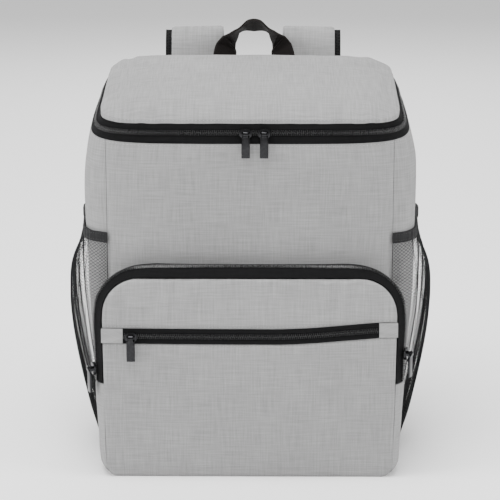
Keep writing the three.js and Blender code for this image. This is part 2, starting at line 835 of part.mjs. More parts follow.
function netPoint(u, v, side) {
  const z = lerp(netFoot, netMouthHeight, v);
  const wall = sideWallPoint(u, z, side);
  const ahead = sideWallPoint(Math.min(u + 0.01, 1), z, side);
  const behind = sideWallPoint(Math.max(u - 0.01, 0), z, side);
  const out = new THREE.Vector3(ahead.y - behind.y, behind.x - ahead.x, 0).normalize();
  if (out.x * side < 0) out.negate();
  const share = readTable(netSections, "height", "bulge", v);
  const open = netMouthGap * v ** 8 * Math.sin(Math.PI * Math.min(Math.max(2 * u - 1, 0), 1)) ** 1.5;
  const bulge = netBulge * share * readTable(netAcross, "across", "bulge", u) + open;
  return wall.addScaledVector(out, netThickness + netSeatGap + bulge);
}

// The net is a lattice: each cell of the grid has one diamond gap with strands of cloth round it
function buildNet(name, side) {
  const column = netColumnMarks;
  const netColumns = column.length - 1;
  const row = steps(0, 1, netRows);
  const surface = (u, v) => netPoint(side > 0 ? u : 1 - u, v, side);
  const points = [];
  const addPoint = (u, v) => {
    const point = surface(u, v);
    const normal = surfaceNormal(surface, u, v, [0, 1], [0, 1]);
    points.push(point, point.clone().addScaledVector(normal, -netThickness));
    return points.length - 2;
  };
  const corner = row.map((v) => column.map((u) => addPoint(u, v)));
  const triangles = [];
  const both = (a, b, c) => triangles.push([a, b, c], [a + 1, c + 1, b + 1]);
  const wall = (a, b) => triangles.push([a, b, b + 1], [a, b + 1, a + 1]);
  for (let j = 0; j < netRows; j++) {
    for (let i = 0; i < netColumns; i++) {
      const [u0, u1, v0, v1] = [column[i], column[i + 1], row[j], row[j + 1]];
      const [um, vm] = [(u0 + u1) / 2, (v0 + v1) / 2];
      const low = addPoint(um, lerp(v0, vm, netStrand));
      const right = addPoint(lerp(u1, um, netStrand), vm);
      const high = addPoint(um, lerp(v1, vm, netStrand));
      const left = addPoint(lerp(u0, um, netStrand), vm);
      const [a, b, c, d] = [corner[j][i], corner[j][i + 1], corner[j + 1][i + 1], corner[j + 1][i]];
      [[a, b, low], [b, c, right], [c, d, high], [d, a, left]].forEach((t) => both(...t));
      [[b, right, low], [c, high, right], [d, left, high], [a, low, left]].forEach((t) => both(...t));
      [[low, right], [right, high], [high, left], [left, low]].forEach((t) => wall(...t));
    }
  }
  for (let i = 0; i < netColumns; i++) {
    wall(corner[0][i + 1], corner[0][i]);
    wall(corner[netRows][i], corner[netRows][i + 1]);
  }
  for (let j = 0; j < netRows; j++) {
    wall(corner[j][0], corner[j + 1][0]);
    wall(corner[j + 1][netColumns], corner[j][netColumns]);
  }
  addPiece(name, closedGeometry(points, triangles), "net");
}

// A folded strip of elastic binds the net's mouth
function buildBinding(name, side) {
  const surface = (u, v) => {
    const point = netPoint(side > 0 ? u : 1 - u, 1, side);
    point.z += seamGap + v * bindingHeight;
    return point;
  };
  const between = netColumnMarks.slice(1).map((mark, i) => (mark + netColumnMarks[i]) / 2);
  const marks = [...netColumnMarks, ...between].sort((a, b) => a - b);
  addPiece(name, sheetGeometry(surface, marks, [0, 1], bindingThickness, 0.4), "webbing");
}

// The carrying handle: one webbing loop whose flat width turns as it crosses over
function buildHandle() {
  const mirrored = handlePath
    .slice(0, -1)
    .reverse()
    .map((row) => ({ ...row, across: -row.across, flat: -row.flat }));
  const rows = [...handlePath, ...mirrored];
  const seat = depthOfBody(0, handleFoot, 1) + 3.5 * seamGap + handleThickness / 2;
  const centre = ({ across, rise }) =>
    new THREE.Vector3(
      handleAcross + across * handleHalfSpan,
      seat + handleLean * Math.max(rise - 0.15, 0),
      lerp(handleFoot, handleTop, rise),
    );
  const curve = new THREE.CatmullRomCurve3(rows.map(centre));
  const marks = steps(0, 1, 26);
  const rings = marks.map((mark) => {
    const at = mark * (rows.length - 1);
    const low = Math.min(Math.floor(at), rows.length - 2);
    const flat = lerp(rows[low].flat, rows[low + 1].flat, at - low);
    const drop = lerp(rows[low].drop, rows[low + 1].drop, at - low);
    const point = curve.getPoint(mark);
    const along = curve.getTangent(mark);
    const wide = new THREE.Vector3(flat, Math.sqrt(Math.max(1 - flat ** 2 - drop ** 2, 0)), -drop);
    wide.addScaledVector(along, -wide.dot(along)).normalize();
    const normal = along.clone().cross(wide);
    const corner = (w, n) =>
      point
        .clone()
        .addScaledVector(wide, (w * handleWidth) / 2)
        .addScaledVector(normal, (n * handleThickness) / 2);
    return [corner(-1, -1), corner(1, -1), corner(1, 1), corner(-1, 1)];
  });
  addPiece("handle", loftGeometry(rings), "webbing");
}

// Shoulder strap: the frame of its middle line at a share of its length
function strapFrame(mark, acrossTop) {
  const curve = new THREE.CatmullRomCurve3(
    strapPath.map((row, i) => {
      const down = Math.max(i / (strapPath.length - 1) - 0.56, 0) / 0.44;
      const seat = depthOfBody(acrossTop, strapTop * strapPath[0].height, 1) + 2 * seamGap;
      return new THREE.Vector3(
        lerp(acrossTop, strapAcrossFoot, down * down * (3 - 2 * down)),
        seat + strapCoverThickness + row.reach * strapReach,
        row.height * strapTop,
      );
    }),
  );
  const point = curve.getPoint(mark);
  const along = curve.getTangent(mark);
  const turn = THREE.MathUtils.degToRad(strapTurn) * Math.sin(Math.PI * Math.min(mark * 1.6, 1));
  const wide = new THREE.Vector3(Math.cos(turn), -Math.sin(turn), 0);
  wide.addScaledVector(along, -wide.dot(along)).normalize();
  return { point, along, wide, out: along.clone().cross(wide).negate() };
}

function strapHalfWidth(mark) {
  return (strapWidth / 2) * (1 - 0.35 * Math.max(mark - 0.85, 0) / 0.15);
}

function strapRings(side, acrossTop, section) {
  return steps(0, 1, 26).map((mark) => {
    const { point, wide, out } = strapFrame(mark, acrossTop);
    const half = strapHalfWidth(mark);
    return section.map(({ across, off, shift = 0 }) => {
      const corner = point.clone().addScaledVector(wide, across * half + shift).addScaledVector(out, off);
      corner.x *= side;
      return corner;
    });
  });
}

function buildStrap(name, side, acrossTop) {
  const cover = strapCoverThickness;
  const pad = -strapPadThickness;
  const coverSection = [
    { across: -1, off: seamGap },
    { across: 1, off: seamGap },
    { across: 1, off: cover * 0.6 },
    { across: 0.9, off: cover },
    { across: -0.9, off: cover },
    { across: -1, off: cover * 0.6 },
  ];
  const padSection = [
    { across: -1, off: 0 },
    { across: 1, off: 0 },
    { across: 1, off: 0, shift: strapPadShift },
    { across: 1, off: pad * 0.6, shift: strapPadShift },
    { across: 0.86, off: pad, shift: strapPadShift },
    { across: -0.86, off: pad },
    { across: -1, off: pad * 0.6 },
  ];
  addPiece(`${name}_cover`, loftGeometry(strapRings(side, acrossTop, coverSection)), "fabric");
  addPiece(`${name}_pad`, loftGeometry(strapRings(side, acrossTop, padSection)), "airMesh");
}

// Webbing through a list of points, flat across a given way
function webbingGeometry(path, wideAt, width) {
  const rings = path.map((point, i) => {
    const wide = wideAt(i);
    const along = path[Math.min(i + 1, path.length - 1)].clone().sub(path[Math.max(i - 1, 0)]).normalize();
    const flat = wide.clone().addScaledVector(along, -wide.dot(along)).normalize();
    const normal = along.clone().cross(flat);
    const corner = (w, n) =>
      point
        .clone()
        .addScaledVector(flat, (w * width) / 2)
        .addScaledVector(normal, (n * webbingThickness) / 2);
    return [corner(-1, -1), corner(1, -1), corner(1, 1), corner(-1, 1)];
  });
  return loftGeometry(rings);
}

// The cloth of the back's lower corner, a distance off the wall
function backCornerPoint(across, z, off) {
  const at = (x, height) => new THREE.Vector3(x, depthOfBody(x, height, 1), height);
  const point = at(across, z);
  const normal = at(across - 0.5, z).sub(at(across + 0.5, z)).cross(at(across, z + 0.5).sub(at(across, z - 0.5)));
  return point.addScaledVector(normal.normalize(), off);
}

// The ladder adjuster: a plate with two slots, hung in line with the strap's lower end. A short loop
// holds its top bar, and the long webbing folds over its middle bar and runs down to the anchor.
function buildAdjuster(name, side, acrossTop) {
  const end = strapFrame(1, acrossTop);
  const anchorOff = 2 * seamGap + anchorThickness;
  const footOff = anchorOff + webbingThickness / 2 + 3 * seamGap;
  const foot = backCornerPoint(webbingFootAcross, webbingFootHeight, footOff);
  const down = foot.clone().sub(end.point).normalize();
  const wide = new THREE.Vector3(1, 0, 0).addScaledVector(down, -down.x).normalize();
  const out = down.clone().cross(wide).negate();
  const at = (from, along, off) => from.clone().addScaledVector(down, along).addScaledVector(out, off);
  const wrap = Math.hypot(adjusterBar, adjusterThickness) / 2 + seamGap + webbingThickness / 2;
  const lead = strapCoverThickness + 2 * seamGap + webbingThickness;
  const topBar = at(end.point, lead + adjusterBar / 2 + wrap, 0);
  const slot = (adjusterHeight - 3 * adjusterBar) / 2;
  const midBar = at(topBar, adjusterBar + slot, 0);

  const frame = new THREE.Shape();
  const [w, h] = [adjusterWidth / 2, adjusterHeight];
  frame.moveTo(-w, 0).lineTo(w, 0).lineTo(w, h).lineTo(-w, h).closePath();
  for (const start of [adjusterBar, 2 * adjusterBar + slot]) {
    const hole = new THREE.Path();
    const half = webbingWidth / 2 + 1;
    hole.moveTo(-half, start).lineTo(-half, start + slot).lineTo(half, start + slot).lineTo(half, start);
    hole.closePath();
    frame.holes.push(hole);
  }
  const plate = new THREE.ExtrudeGeometry(frame, { depth: adjusterThickness, bevelEnabled: false });
  const back = wide.clone().cross(down);
  plate.translate(0, 0, -adjusterThickness / 2);
  plate.applyMatrix4(new THREE.Matrix4().makeBasis(wide, down, back).setPosition(at(topBar, -adjusterBar / 2, 0)));
  addMirrored(`${name}_adjuster`, plate, side, "plastic");

  // Webbing round a bar, from the strap's outer face to its inner face, below the bar or above it
  const fold = (bar, way) =>
    steps(0, Math.PI, 6).map((turn) => at(bar, way * wrap * Math.sin(turn), way * wrap * Math.cos(turn)));
  const near = 4 * seamGap;
  const loop = [at(end.point, near, wrap), ...fold(topBar, 1), at(end.point, near, -wrap)];
  addMirrored(`${name}_loop`, webbingGeometry(loop, () => wide, webbingWidth), side, "webbing");
  const inner = at(midBar, adjusterHeight, -wrap);
  const long = [
    foot,
    foot.clone().lerp(inner, 0.33),
    foot.clone().lerp(inner, 0.67),
    inner,
    ...fold(midBar, -1),
    at(midBar, adjusterHeight, wrap),
    at(midBar, webbingTail * 0.7, wrap + 1),
    at(midBar, webbingTail, wrap + 4),
  ];
  const wallWay = backCornerPoint(webbingFootAcross + 1, webbingFootHeight, 0);
  wallWay.sub(backCornerPoint(webbingFootAcross - 1, webbingFootHeight, 0)).normalize();
  const wideAt = (i) => wallWay.clone().lerp(wide, Math.min(i / 3, 1));
  addMirrored(`${name}_webbing`, webbingGeometry(long, wideAt, webbingWidth), side, "webbing");

  // The anchor is a tapering tab of cloth sewn flat on the back's lower corner
  const outer = backSeamAcross - seamGap;
  const tab = (u, v) => {
    const low = lerp(anchorHeight * 0.3, 0, u);
    const high = lerp(anchorHeight * 0.6, anchorHeight, u);
    const z = webbingFootHeight - anchorHeight / 2 + lerp(low, high, v);
    return backCornerPoint(lerp(outer, outer - anchorWidth, 1 - u), z, anchorOff);
  };
  const turned = (u, v) => tab(1 - u, v);
  addMirrored(`${name}_anchor`, sheetGeometry(turned, steps(0, 1, 5), steps(0, 1, 2), anchorThickness), side, "fabric");
}

function addMirrored(name, geometry, side, material) {
  if (side > 0) return addPiece(name, geometry, material);
  const flat = geometry.index ? geometry.toNonIndexed() : geometry;
  const corners = flat.getAttribute("position");
  const points = [];
  for (let i = 0; i < corners.count; i++) {
    points.push(new THREE.Vector3(-corners.getX(i), corners.getY(i), corners.getZ(i)));
  }
  const triangles = [];
  for (let i = 0; i < points.length; i += 3) triangles.push([i, i + 1, i + 2]);
  return addPiece(name, closedGeometry(points, triangles), material);
}

// A slider: a plate over the coil with two posts and a pin. X runs across, Z stands off the cloth.
function sliderGeometry(alongPin) {
  const [length, width] = alongPin ? [sliderLength, sliderWidth] : [sliderWidth, sliderLength];
  const shape = new THREE.Shape();
  const [l, w] = [length / 2, width / 2];
  shape.moveTo(-l, -w * 0.55).lineTo(-l * 0.6, -w).lineTo(l * 0.6, -w).lineTo(l, -w * 0.55);
  shape.lineTo(l, w * 0.55).lineTo(l * 0.6, w).lineTo(-l * 0.6, w).lineTo(-l, w * 0.55).closePath();
  const plate = new THREE.ExtrudeGeometry(shape, { depth: sliderPlate, bevelEnabled: false });
  const postHeight = pinHeight + pinRadius - sliderPlate / 2;
  const postAt = eyeWidth / 2 + seamGap + postWidth / 2;
  const pin = new THREE.CylinderGeometry(pinRadius, pinRadius, 2 * postAt, 8);
  pin.rotateZ(Math.PI / 2).translate(0, 0, pinHeight);
  let solid = solidOf(plate).add(solidOf(pin));
  for (const x of [-postAt, postAt]) {
    const post = new THREE.BoxGeometry(postWidth, 2.6, postHeight);
    post.translate(x, 0, sliderPlate / 2 + postHeight / 2);
    solid = solid.add(solidOf(post));
  }
  return geometryOf(solid);
}

// A pull: an eye round the pin and a flat bar that hangs from it
function pullGeometry() {
  const eyeInner = pinRadius + pinClearance;
  const eyeOuter = eyeInner + eyeWall;
  const ring = new THREE.Shape().absarc(0, 0, eyeOuter, 0, 2 * Math.PI, false);
  ring.holes.push(new THREE.Path().absarc(0, 0, eyeInner, 0, 2 * Math.PI, true));
  const eye = new THREE.ExtrudeGeometry(ring, { depth: eyeWidth, bevelEnabled: false, curveSegments: 5 });
  eye.rotateY(Math.PI / 2).translate(-eyeWidth / 2, 0, 0);
  const bar = new THREE.Shape();
  const [w, t] = [pullWidth / 2, pullThickness / 2];
  const bevel = pullThickness * 0.3;
  bar.moveTo(-w + bevel, -t).lineTo(w - bevel, -t).lineTo(w, -t + bevel).lineTo(w, t - bevel);
  bar.lineTo(w - bevel, t).lineTo(-w + bevel, t).lineTo(-w, t - bevel).lineTo(-w, -t + bevel).closePath();
  const barStart = eyeOuter + 0.6;
  const blade = new THREE.ExtrudeGeometry(bar, { depth: pullLength - barStart, bevelEnabled: false });
  blade.rotateX(Math.PI / 2).translate(0, -barStart, 0);
  const neck = new THREE.BoxGeometry(eyeWidth, barStart - eyeInner, pullThickness);
  neck.translate(0, -(barStart + eyeInner + eyeWall) / 2, 0);
  return geometryOf(solidOf(eye).add(solidOf(blade)).add(solidOf(neck)));
}

// Seats a slider on a coil: the origin on the coil, X along the pin, Y up the cloth, Z off the cloth.
// The pull hangs straight down whatever the cloth's lean.
function addSlider(name, origin, pinWay, off, alongPin) {
  const z = off.clone().normalize();
  const x = pinWay.clone().addScaledVector(z, -pinWay.dot(z)).normalize();
  const y = z.clone().cross(x);
  const seat = origin.clone().addScaledVector(z, coilProud + sliderGap);
  const slider = addPiece(`${name}_slider`, sliderGeometry(alongPin), "metal");
  slider.applyMatrix4(new THREE.Matrix4().makeBasis(x, y, z).setPosition(seat));
  const pin = seat.clone().addScaledVector(z, pinHeight);
  const up = new THREE.Vector3(0, 0, 1);
  const level = x.clone().addScaledVector(up, -x.dot(up)).normalize();
  const away = level.clone().cross(up);
  const pull = addPiece(`${name}_pull`, pullGeometry(), "metal");
  pull.applyMatrix4(new THREE.Matrix4().makeBasis(level, up, away).setPosition(pin));
}

function buildSliders() {
  const across = new THREE.Vector3(1, 0, 0);
  const lidCoilDrop = 2 * seamGap + lidTapeAbove + coilWidth / 2;
  ["left", "right"].forEach((hand, i) => {
    const x = lidPullSpots[i];
    const angle = angleAcross(x, 1, -1);
    const spot = wallPoint(angle, shareBelowRim(angle, lidCoilDrop));
    addSlider(`lid_${hand}`, spot, across, new THREE.Vector3(0, -1, 0), true);
  });
  const faceSpot = facePoint(faceSliderAcross, faceZipLine(faceSliderAcross));
  addSlider("face", faceSpot, across, new THREE.Vector3(0, -1, 0), true);
  for (const [hand, side] of [["left", -1], ["right", 1]]) {
    const straight = pocketHeight - pocketTopRadius - pocketFootRadius;
    const share = (pocketSliderHeights[hand] - pocketFootRadius) / straight;
    const travel = side < 0 ? 2 + share : 7 - share;
    const distance = pocketTapeFront + seamGap + coilWidth / 2;
    const spot = bandPoint(travel, distance);
    const ahead = bandPoint(travel, distance + 1);
    const behind = bandPoint(travel, distance - 1);
    const deep = ahead.sub(behind).setZ(0).normalize();
    const off = new THREE.Vector3(side * deep.y, -side * deep.x, 0);
    addSlider(`pocket_${hand}`, spot, deep.multiplyScalar(side), off, false);
  }
}

buildFrontPanel();
buildSidePanel("side_panel_left", -1);
buildSidePanel("side_panel_right", 1);
buildBackPanel();
buildBase();
buildLid();
buildLidZip();
buildPocketFace();
buildFaceZip();
buildPocketBand();
for (const [hand, side] of [["left", -1], ["right", 1]]) {
  buildNet(`net_${hand}`, side);
  buildBinding(`net_binding_${hand}`, side);
  buildStrap(`strap_${hand}`, side, strapSpots[hand]);
  buildAdjuster(`strap_${hand}`, side, strapSpots[hand]);
}
buildHandle();
buildSliders();

export default bag;
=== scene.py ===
# %% [markdown]
# # A cooler backpack, dressed around its CAD frame
# The bag is a soft box: foam-lined panels of light grey woven polyester, a lid that a black zip
# closes round three sides, a front pocket with its own zip, a small zip across the pocket's face,
# a net pocket on each side, a webbing handle and two padded straps. The frame gives every piece
# its place, and this script gives each one its cloth, teeth, strands and stitches.

import json
import math
from itertools import permutations

import bpy
import numpy as np
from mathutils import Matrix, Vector, noise
from mathutils.bvhtree import BVHTree
from mathutils.kdtree import KDTree


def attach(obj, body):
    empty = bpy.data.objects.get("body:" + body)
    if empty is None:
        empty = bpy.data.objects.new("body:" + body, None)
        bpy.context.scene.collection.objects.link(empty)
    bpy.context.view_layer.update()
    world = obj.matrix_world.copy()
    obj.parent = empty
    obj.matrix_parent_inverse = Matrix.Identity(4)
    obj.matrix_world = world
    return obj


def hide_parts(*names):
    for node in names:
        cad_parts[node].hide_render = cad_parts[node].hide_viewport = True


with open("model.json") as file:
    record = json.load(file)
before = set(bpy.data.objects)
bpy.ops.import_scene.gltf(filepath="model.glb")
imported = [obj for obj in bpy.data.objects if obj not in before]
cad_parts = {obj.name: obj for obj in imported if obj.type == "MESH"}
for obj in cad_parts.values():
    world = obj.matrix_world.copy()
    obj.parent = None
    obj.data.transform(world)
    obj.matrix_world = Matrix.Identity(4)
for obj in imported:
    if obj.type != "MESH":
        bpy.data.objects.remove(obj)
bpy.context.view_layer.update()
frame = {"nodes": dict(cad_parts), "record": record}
bpy.ops.object.select_all(action="DESELECT")
mm = 0.001
print("CAD pieces:", len(frame["nodes"]))

# %% [markdown]
# ## The camera
# The photograph looks at the bag almost straight on from 14.6 degrees above, through a long lens,
# so the sides hardly converge. The camera comes first, because every piece is judged through it.

# %% The camera
target = Vector((0, 0, 0.190))
camera_distance = 1.8
camera_azimuth = math.radians(0.457)
camera_elevation = math.radians(14.6)
away = Vector(
    (
        math.sin(camera_azimuth) * math.cos(camera_elevation),
        -math.cos(camera_azimuth) * math.cos(camera_elevation),
        math.sin(camera_elevation),
    )
)
lens = bpy.data.cameras.new("camera")
lens.lens = 135.0
lens.shift_x = -0.0009
lens.shift_y = -0.0064
camera = bpy.data.objects.new("camera", lens)
camera.location = target + away * camera_distance
camera.rotation_euler = (-away).to_track_quat("-Z", "Y").to_euler()
bpy.context.collection.objects.link(camera)
bpy.context.scene.camera = camera
print("camera height in metres:", round(camera.location.z, 3))

# %% [markdown]
# ## Floor and light
# Product photographs are lit by large soft lights on a white sweep. A white world lights all of
# the cloth evenly, a wide lamp overhead brightens the lid, one on each side gives the corners a
# little shape, and one behind lights the floor. Each lamp is an area light, whose size is what
# makes its shadow soft.

# %% The floor and the lights
bpy.ops.mesh.primitive_plane_add(size=30)
floor = bpy.context.object
floor.name = "floor"

world = bpy.data.worlds.new("white_world")
world.use_nodes = True
world.node_tree.nodes["Background"].inputs["Color"].default_value = (1, 1, 1, 1)
world.node_tree.nodes["Background"].inputs["Strength"].default_value = 0.7
bpy.context.scene.world = world


def add_lamp(name, place, size, power):
    bpy.ops.object.light_add(type="AREA", location=place)
    lamp = bpy.context.object
    lamp.name = name
    lamp.data.size = size
    lamp.data.energy = power
    lamp.rotation_euler = (target - lamp.location).to_track_quat("-Z", "Y").to_euler()


add_lamp("lamp_above", (-0.2, -0.5, 2.2), 1.4, 62)
add_lamp("lamp_left", (-2.0, -0.7, 1.1), 1.0, 41)
add_lamp("lamp_right", (2.0, -0.7, 1.0), 1.0, 32)
add_lamp("lamp_behind", (0.0, 1.9, 1.6), 1.6, 26)
print("lamps:", len(bpy.data.lights))

# %% [markdown]
# ## Shader maths as plain expressions
# A Math node is a tiny calculator. Wrapping a node's output in a class that knows plus, minus and
# times lets a pattern be written as a formula, and each operator adds its own Math node.


# %% A value in a material
class Value:
    def __init__(self, finish, socket):
        self.finish = finish
        self.socket = socket

    def math(self, operation, *values):
        return self.finish.node("ShaderNodeMath", {"operation": operation}, dict(enumerate(values)))

    def __add__(self, other):
        return self.math("ADD", self, other)

    def __sub__(self, other):
        return self.math("SUBTRACT", self, other)

    def __rsub__(self, other):
        return self.math("SUBTRACT", other, self)

    def __mul__(self, other):
        return self.math("MULTIPLY", self, other)

    __radd__ = __add__
    __rmul__ = __mul__

    def sine(self):
        return self.math("SINE", self)

    def size(self):
        return self.math("ABSOLUTE", self)

    def above(self, limit):
        return self.math("GREATER_THAN", self, limit)


# %% [markdown]
# ## A finish
# A finish is one material round a Principled shader. It can add a node, feed a socket, read the
# cloth's flat map, mix two shades and turn a height into relief.


# %% A material
class Finish:
    def __init__(self, name, **constants):
        self.material = bpy.data.materials.new(name)
        self.material.use_nodes = True
        self.tree = self.material.node_tree
        self.shader = self.tree.nodes["Principled BSDF"]
        for socket, value in constants.items():
            self.shader.inputs[socket.replace("_", " ")].default_value = value

    def feed(self, socket, value):
        if isinstance(value, Value):
            self.tree.links.new(value.socket, socket)
        else:
            socket.default_value = value

    def node(self, kind, settings, inputs, output=0):
        made = self.tree.nodes.new(kind)
        for name, value in settings.items():
            setattr(made, name, value)
        for socket, value in inputs.items():
            self.feed(made.inputs[socket], value)
        return Value(self, made.outputs[output])

    def cloth_map(self):
        place = self.tree.nodes.new("ShaderNodeUVMap")
        place.uv_map = "cloth"
        split = self.tree.nodes.new("ShaderNodeSeparateXYZ")
        self.tree.links.new(place.outputs[0], split.inputs[0])
        return [Value(self, socket) for socket in (place.outputs[0], *split.outputs[:2])]

    def speckle(self, place, scale, detail=2.0):
        stretched = self.node("ShaderNodeVectorMath", {"operation": "MULTIPLY"}, {0: place, 1: scale})
        return self.node("ShaderNodeTexNoise", {}, {"Vector": stretched, "Scale": 1.0, "Detail": detail})

    def tint(self, amount, dark, light):
        return self.node(
            "ShaderNodeMix", {"data_type": "RGBA"}, {0: amount, 6: (*dark, 1), 7: (*light, 1)}, output=2
        )

    def relief(self, height, depth):
        bump = self.node("ShaderNodeBump", {}, {"Height": height, "Distance": depth, "Strength": 1.0})
        self.feed(self.shader.inputs["Normal"], bump)

    def paint(self, socket, value):
        self.feed(self.shader.inputs[socket], value)


# %% [markdown]
# ## Woven cloth
# A plain weave is two sets of round threads that take turns on top. Two sine waves give the
# threads, and the sign of their product says which one is on top. The bag's cloth is a melange:
# threads differ a little in shade along their length, so noise stretched along each thread
# direction tints it. The same recipe, with other sizes and shades, serves the tape and the webbing.


# %% The woven finishes
def woven(name, dark, light, thread, depth, streak, roughness, shine=0.5):
    finish = Finish(name, Roughness=roughness, Specular_IOR_Level=shine)
    place, across, along = finish.cloth_map()
    turn = math.pi / thread
    warp = (across * turn).sine()
    weft = (along * turn).sine()
    over = (warp * weft).above(0.0)
    height = over * warp.size() + (1 - over) * weft.size()
    long_threads = finish.speckle(place, (1 / thread, streak, 1))
    cross_threads = finish.speckle(place, (streak, 1 / thread, 1))
    patches = finish.speckle(place, (14, 14, 1), detail=3.0)
    slubs = finish.speckle(place, (750, 35, 1)) + finish.speckle(place, (35, 750, 1))
    shade = over * long_threads + (1 - over) * cross_threads
    shade = shade * 0.8 + slubs * 0.9 + patches * 0.3 - 1.0
    finish.paint("Base Color", finish.tint(shade, dark, light))
    finish.relief(height + long_threads * 0.4, depth)
    return finish.material


grey_cloth = woven(
    "grey_cloth", (0.20, 0.20, 0.20), (0.345, 0.344, 0.343),
    thread=0.55 * mm, depth=0.08 * mm, streak=60, roughness=0.92, shine=0.25,
)
black_tape = woven(
    "black_tape", (0.0015, 0.0015, 0.0017), (0.007, 0.007, 0.0075),
    thread=0.5 * mm, depth=0.1 * mm, streak=90, roughness=0.85, shine=0.12,
)
black_webbing = woven(
    "black_webbing", (0.003, 0.0024, 0.0022), (0.016, 0.0128, 0.012),
    thread=1.1 * mm, depth=0.22 * mm, streak=80, roughness=0.8, shine=0.15,
)
black_elastic = woven(
    "black_elastic", (0.006, 0.006, 0.0065), (0.026, 0.026, 0.027),
    thread=0.8 * mm, depth=0.15 * mm, streak=120, roughness=0.8, shine=0.2,
)
net_yarn = woven(
    "net_yarn", (0.004, 0.004, 0.0045), (0.014, 0.014, 0.015),
    thread=0.3 * mm, depth=0.05 * mm, streak=300, roughness=0.7, shine=0.25,
)
print("woven finishes:", len(bpy.data.materials))

# %% [markdown]
# ## Air mesh, nylon, plated metal and plastic
# The pads' black air mesh is a knit full of small round holes, which a cell pattern gives as relief;
# the same pattern paints each hole darker towards its middle, as painted shade inside the hole. The
# zip's coil is nylon and a little glossy. The pulls are plated dark, so their colour comes from
# the metal's own reflection, broken up by faint wear. The buckles are plain moulded plastic.


# %% The other finishes
def air_mesh_finish():
    finish = Finish("air_mesh", Roughness=0.9, Specular_IOR_Level=0.12)
    place = finish.cloth_map()[0]
    cell = 2.6 * mm
    cells = finish.node(
        "ShaderNodeTexVoronoi",
        {"voronoi_dimensions": "2D"},
        {"Vector": place, "Scale": 1 / cell, "Randomness": 0.25},
    )
    # The cell pattern is darkest at each hole's middle. That dark is painted shade inside the hole, and
    # the same pattern also sinks the hole in relief.
    rim = cells.math("SMOOTH_MIN", cells * 2.0, 0.8, 0.2)
    fibre = finish.speckle(place, (2500, 2500, 1))
    shade = rim * (fibre * 0.5 + 0.6)
    finish.paint("Base Color", finish.tint(shade, (0.001, 0.001, 0.001), (0.014, 0.014, 0.0145)))
    finish.relief(rim + fibre * 0.1, 0.9 * mm)
    return finish.material


def hard_finish(name, dark, light, roughness, grain, depth, **constants):
    finish = Finish(name, **constants)
    place = finish.node("ShaderNodeTexCoord", {}, {}, output=3)
    wear = finish.speckle(place, (grain, grain, grain), detail=5.0)
    finish.paint("Base Color", finish.tint(wear, dark, light))
    finish.paint("Roughness", wear * (roughness[1] - roughness[0]) + roughness[0])
    finish.relief(wear, depth)
    return finish.material


air_mesh = air_mesh_finish()
nylon = hard_finish(
    "nylon_coil", (0.007, 0.007, 0.0072), (0.022, 0.022, 0.0225),
    roughness=(0.2, 0.35), grain=900, depth=0.01 * mm, Specular_IOR_Level=0.6,
)
dark_metal = hard_finish(
    "dark_metal", (0.012, 0.012, 0.013), (0.04, 0.04, 0.042),
    roughness=(0.12, 0.28), grain=400, depth=0.01 * mm, Metallic=1.0,
)
black_plastic = hard_finish(
    "black_plastic", (0.006, 0.006, 0.0065), (0.013, 0.013, 0.014),
    roughness=(0.38, 0.55), grain=1200, depth=0.03 * mm,
)
grey_thread = woven(
    "grey_thread", (0.3, 0.3, 0.3), (0.46, 0.455, 0.455),
    thread=0.25 * mm, depth=0.04 * mm, streak=400, roughness=0.7,
)
black_thread = woven(
    "black_thread", (0.01, 0.01, 0.01), (0.03, 0.03, 0.03),
    thread=0.25 * mm, depth=0.04 * mm, streak=400, roughness=0.6,
)
floor_paint = Finish("floor_paint", Roughness=0.9)
floor_paint.paint("Base Color", (0.98, 0.98, 0.98, 1))
floor.data.materials.append(floor_paint.material)
print("materials:", len(bpy.data.materials))

# %% [markdown]
# ## Handling pieces
# A few helpers do what a hand does in the viewport: select one piece, enter edit mode, run an
# operator, and come back. `dress` gives a finished piece its name and material, hides the CAD
# pieces it stands for and hangs it on the body that carries it.


# %% Helpers for pieces
def take(piece):
    bpy.ops.object.select_all(action="DESELECT")
    piece.select_set(True)
    bpy.context.view_layer.objects.active = piece


def edit(piece, *steps, everything=True):
    take(piece)
    bpy.ops.object.mode_set(mode="EDIT")
    bpy.ops.mesh.select_mode(type="EDGE")
    if everything:
        bpy.ops.mesh.select_all(action="SELECT")
    for step in steps:
        step()
    bpy.ops.object.mode_set(mode="OBJECT")


def get_points(mesh):
    flat = np.zeros(len(mesh.vertices) * 3)
    mesh.vertices.foreach_get("co", flat)
    return flat.reshape(-1, 3)


def set_points(piece, points):
    piece.data.vertices.foreach_set("co", np.asarray(points).ravel())
    piece.data.update()
    bpy.context.view_layer.update()


def apply_modifier(piece, kind, **settings):
    take(piece)
    modifier = piece.modifiers.new(kind.lower(), kind)
    for name, value in settings.items():
        setattr(modifier, name, value)
    bpy.ops.object.modifier_apply(modifier=modifier.name)


def dress(piece, name, material, slot, body, *nodes):
    piece.name = name
    piece.data.name = name
    piece.data.materials.clear()
    piece.data.materials.append(material)
    if nodes:
        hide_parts(*nodes)
    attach(piece, body)
    return piece


def copy_of(node):
    piece = bpy.data.objects.new(node + "_copy", frame["nodes"][node].data.copy())
    bpy.context.collection.objects.link(piece)
    edit(
        piece,
        lambda: bpy.ops.mesh.customdata_custom_splitnormals_clear(),
        lambda: bpy.ops.mesh.remove_doubles(threshold=0.01 * mm),
        lambda: bpy.ops.mesh.tris_convert_to_quads(face_threshold=0.7, shape_threshold=1.2),
    )
    return piece


# %% [markdown]
# ## Soft panels
# The CAD panels are faceted. Subdivision rounds them, but it also draws a surface in at its
# corners, so the cage is first pushed outwards until the smooth surface passes through the CAD's
# own points. Rims are creased, so that neighbouring panels still meet in a seam.


# %% Smoothing a panel
def select_sharp(piece, sharper_than=38):
    edit(
        piece,
        lambda: bpy.ops.mesh.select_all(action="DESELECT"),
        lambda: bpy.ops.mesh.edges_select_sharp(sharpness=math.radians(sharper_than)),
    )


